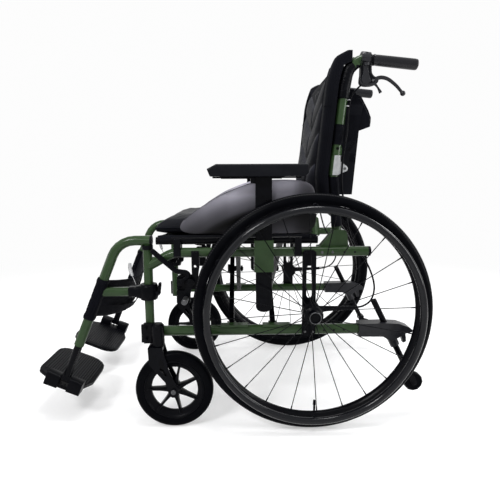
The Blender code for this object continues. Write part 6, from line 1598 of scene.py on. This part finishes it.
def lobed_knob():
    """A small lobed knob beside the side tube's bend."""
    outline = []
    for k in range(48):
        angle = math.tau * k / 48
        reach = 0.0118 + 0.0018 * math.cos(6 * angle)
        outline.append((-0.3545 + reach * math.cos(angle), 0.4300 + reach * math.sin(angle)))
    return prism(outline, -0.2195, -0.2100)


FOOT_HINGE = Vector((-0.6400, -0.2375, 0.1184))
FOOT_ALONG, FOOT_NORMAL = Vector((-0.9229, 0, 0.3851)), Vector((0.3851, 0, 0.9229))


def foot_place(forward, out, up):
    """A place on the footplate, from its hinge."""
    return FOOT_HINGE + FOOT_ALONG * forward + Vector((0, -out, 0)) + FOOT_NORMAL * up


def foot_slab(outline, low, high):
    """An outline on the footplate, from one height above its middle to another."""
    return lofted([[foot_place(forward, out, level) for forward, out in outline] for level in (low, high)])


def foot_ribs():
    """Fine ribs along the footplate's tread, following its outline."""
    parts = []
    front, rear, inner = 0.083, -0.062, -0.1965
    for i in range(19):
        start = rear + 0.012 + i * (front - rear - 0.026) / 18
        centre = start + 0.0011
        trim = 0.0
        if centre > front - 0.036:
            trim = 0.034 - math.sqrt(max(0.0, 0.034**2 - (centre - front + 0.034) ** 2))
        if centre < rear + 0.046:
            trim = 0.046 - math.sqrt(max(0.0, 0.046**2 - (rear + 0.046 - centre) ** 2))
        low = inner + trim + 0.009
        high = -0.034 if abs(centre) < 0.056 else -0.046
        rib = [(start, low), (start + 0.0022, low), (start + 0.0022, high), (start, high)]
        parts.append(foot_slab(rib, -0.0168, -0.0146))
    return joined(parts)


def foot_slots():
    """Dark strips for the slots of the hinge block's outer face: painted shade in their hollows."""
    parts = []
    for low, high in ((0.0026, 0.0070), (-0.0080, -0.0040)):
        slot = [(low, 0.0143), (high, 0.0143), (high, 0.0149), (low, 0.0149)]
        parts.append(foot_slab(slot, -0.0225, -0.0060))
    return joined(parts)


def height_marks():
    """A row of height marks along the outer rear edge of the footrest's tube."""
    parts = []
    top = Vector((-0.6030, -SIDE_Y, 0.207))
    for k in range(18):
        base = top - FOOT_NORMAL * (0.008 + 0.0048 * k) - FOOT_ALONG * 0.0071 + Vector((0, -0.0071, 0))
        half = (Vector((0, 1, 0)) - FOOT_ALONG) * 0.0010 + FOOT_NORMAL * 0.0009
        parts.append(rod(base - half, base + half, 0.0005, 6))
    return joined(parts)


def round_heads(places, radius, face, height=0.0016):
    """Small screw heads with a dished middle on faces towards the side."""
    parts = []
    for x, z in places:
        profile = ((0, -0.0004), (radius, -0.0004), (radius, height * 0.6), (radius * 0.82, height),
                   (radius * 0.46, height), (radius * 0.40, height * 0.45), (0, height * 0.45))
        parts.append(turned(profile, at(x, z, face), OUTWARD, 18))
    return joined(parts)


def round_holes(places, radius, face):
    """Dark discs that stand for drilled holes in faces towards the side: painted shade in their hollows."""
    profile = ((0, -0.0004), (radius, -0.0004), (radius, 0.00022), (0, 0.00022))
    return joined([turned(profile, at(x, z, face), OUTWARD, 16) for x, z in places])


def cane_hooks():
    """Two small wire hooks behind the cane, below its boot."""
    y = CANE_Y + 0.0020
    upper = [at(x, z, y) for x, z in ((0.0925, 0.8290), (0.0950, 0.8312), (0.1005, 0.8316),
                                      (0.1020, 0.8300))]
    lower = rod(at(0.0915, 0.8162, y), at(0.0990, 0.8162, y), 0.0017, 10)
    return joined([tube(smooth_curve(upper, 4), 0.0010, 8), lower])


CABLE_RADIUS = 0.0024
CABLE_POINTS = (
    (0.1300, 0.8685, 0.195),
    (0.1170, 0.8560, 0.195),
    (0.1035, 0.8360, 0.195),
    (0.0985, 0.8050, 0.196),
    (0.0945, 0.7600, 0.205),
    (0.0870, 0.7150, 0.2135),
    (0.0810, 0.6700, 0.2150),
    (0.0820, 0.6100, 0.2120),
    (0.0960, 0.5500, 0.2020),
    (0.1060, 0.5000, 0.1990),
    (0.1220, 0.4560, 0.2060),
    (0.1450, 0.4260, 0.2130),
    (0.1620, 0.3880, 0.2230),
    (0.1670, 0.3530, 0.2360),
    (0.1560, 0.3250, 0.2490),
    (0.1350, 0.3110, 0.2560),
    (0.1127, 0.3065, 0.2571),
)


def brake_cables():
    """The brake cables along the CAD's route."""
    route = smooth_curve([at(x, z, y) for x, z, y in CABLE_POINTS], 6)
    cables = paired("cable", lambda: tube(route, CABLE_RADIUS, 10), "frame", "black_plastic", "brake_cable",
                    limit=60, ride=False)
    for side, obj in zip(SIDES, cables):
        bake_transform(obj)


def rigid_pieces():
    """The rigid pieces, each on both sides."""
    paired("guard", skirt_guard, "armrest", "guard_grey", "skirt_guard", limit=30)
    paired("guard_edge_line", guard_edge_line, "armrest", "black_plastic")
    paired("cane_sleeve", cane_sleeve, "upper_back", "black_fabric", limit=60)
    paired("lower_sleeve", lower_sleeve, "frame", "black_fabric", limit=60)
    paired("handle_boot", handle_boot, "upper_back", "black_plastic", limit=60)
    paired("perch", perch_details, "upper_back", "moulded", limit=40, bevel=0.0010)
    paired("perch_bolt", perch_bolt, "upper_back", "dark_steel", limit=40)
    paired("grip", push_grip, "upper_back", "grip_rubber", "push_grip", limit=60)
    paired("cane_bend", cane_bend, "upper_back", "frame_green", limit=60)
    paired("cane_hooks", cane_hooks, "upper_back", "steel", limit=60)
    paired("lever", brake_lever, "brake_lever", "moulded", "brake_lever", limit=60)
    paired("lock_bar", lock_lever, "lock_lever", "black_plastic", "lock_lever", limit=60)
    paired("lock_boss", lock_boss, "frame", "black_metal", limit=35)
    paired("lock_block", lock_block, "frame", "black_plastic", bevel=0.0010)
    paired("lock_arm", lock_arm, "lock_shoe", "black_metal", "lock_shoe", bevel=0.0006)
    paired("lock_pin", lock_pin, "lock_shoe", "dark_steel", "lock_shoe", limit=70)
    paired("catch_housing", catch_housing, "hanger", "black_plastic", limit=45)
    paired("catch_pull", catch_pull, "hanger", "steel", limit=60)
    paired("lobed_knob", lobed_knob, "frame", "black_plastic", bevel=0.0008)
    paired("foot_ribs", foot_ribs, "footplate", "foot_plastic")
    paired("foot_slots", foot_slots, "footplate", "hole")
    paired("height_marks", height_marks, "footrest", "dark_steel")


# Name, body, finish, makers of heads or holes, their places as x and z, and their radius, face and height
FASTENINGS = (
    ("tube_bolts", "frame", "dark_steel", round_heads, ((-0.100, 0.4485), (0.028, 0.4485), (0.055, 0.4485)),
     (0.0034, 0.2445)),
    ("tube_holes", "frame", "hole", round_holes,
     ((0.085, 0.4485), (0.112, 0.4485), (0.036, 0.2432), (0.062, 0.2432), (0.088, 0.2432)),
     (0.0026, 0.2450)),
    ("plate_bolts", "frame", "dark_steel", round_heads, ((-0.015, 0.2430), (0.005, 0.2430)),
     (0.0030, 0.2546)),
    ("socket_screws", "frame", "steel", round_heads, ((-0.1334, 0.4785), (-0.1111, 0.4785)),
     (0.0017, 0.2662, 0.0008)),
    ("cane_hole", "upper_back", "hole", round_holes, ((0.0695, 0.7098),), (0.0036, 0.2073)),
    ("ear_rivet", "frame", "dark_steel", round_heads, ((0.0893, 0.6589),), (0.0036, 0.2081, 0.0014)),
)


def fastenings():
    """The heads and holes of the table above."""
    for name, body, finish, build, places, sizes in FASTENINGS:
        paired(name, lambda: build(places, *sizes), body, finish)


# Build
make_camera()
make_floor()
make_light()
make_materials()
dress_nodes()
rear_wheels()
casters()
seat_sling()
seat_cushion()
back_pieces()
calf_strap()
brake_cables()
rigid_pieces()
fastenings()

bpy.context.view_layer.update()
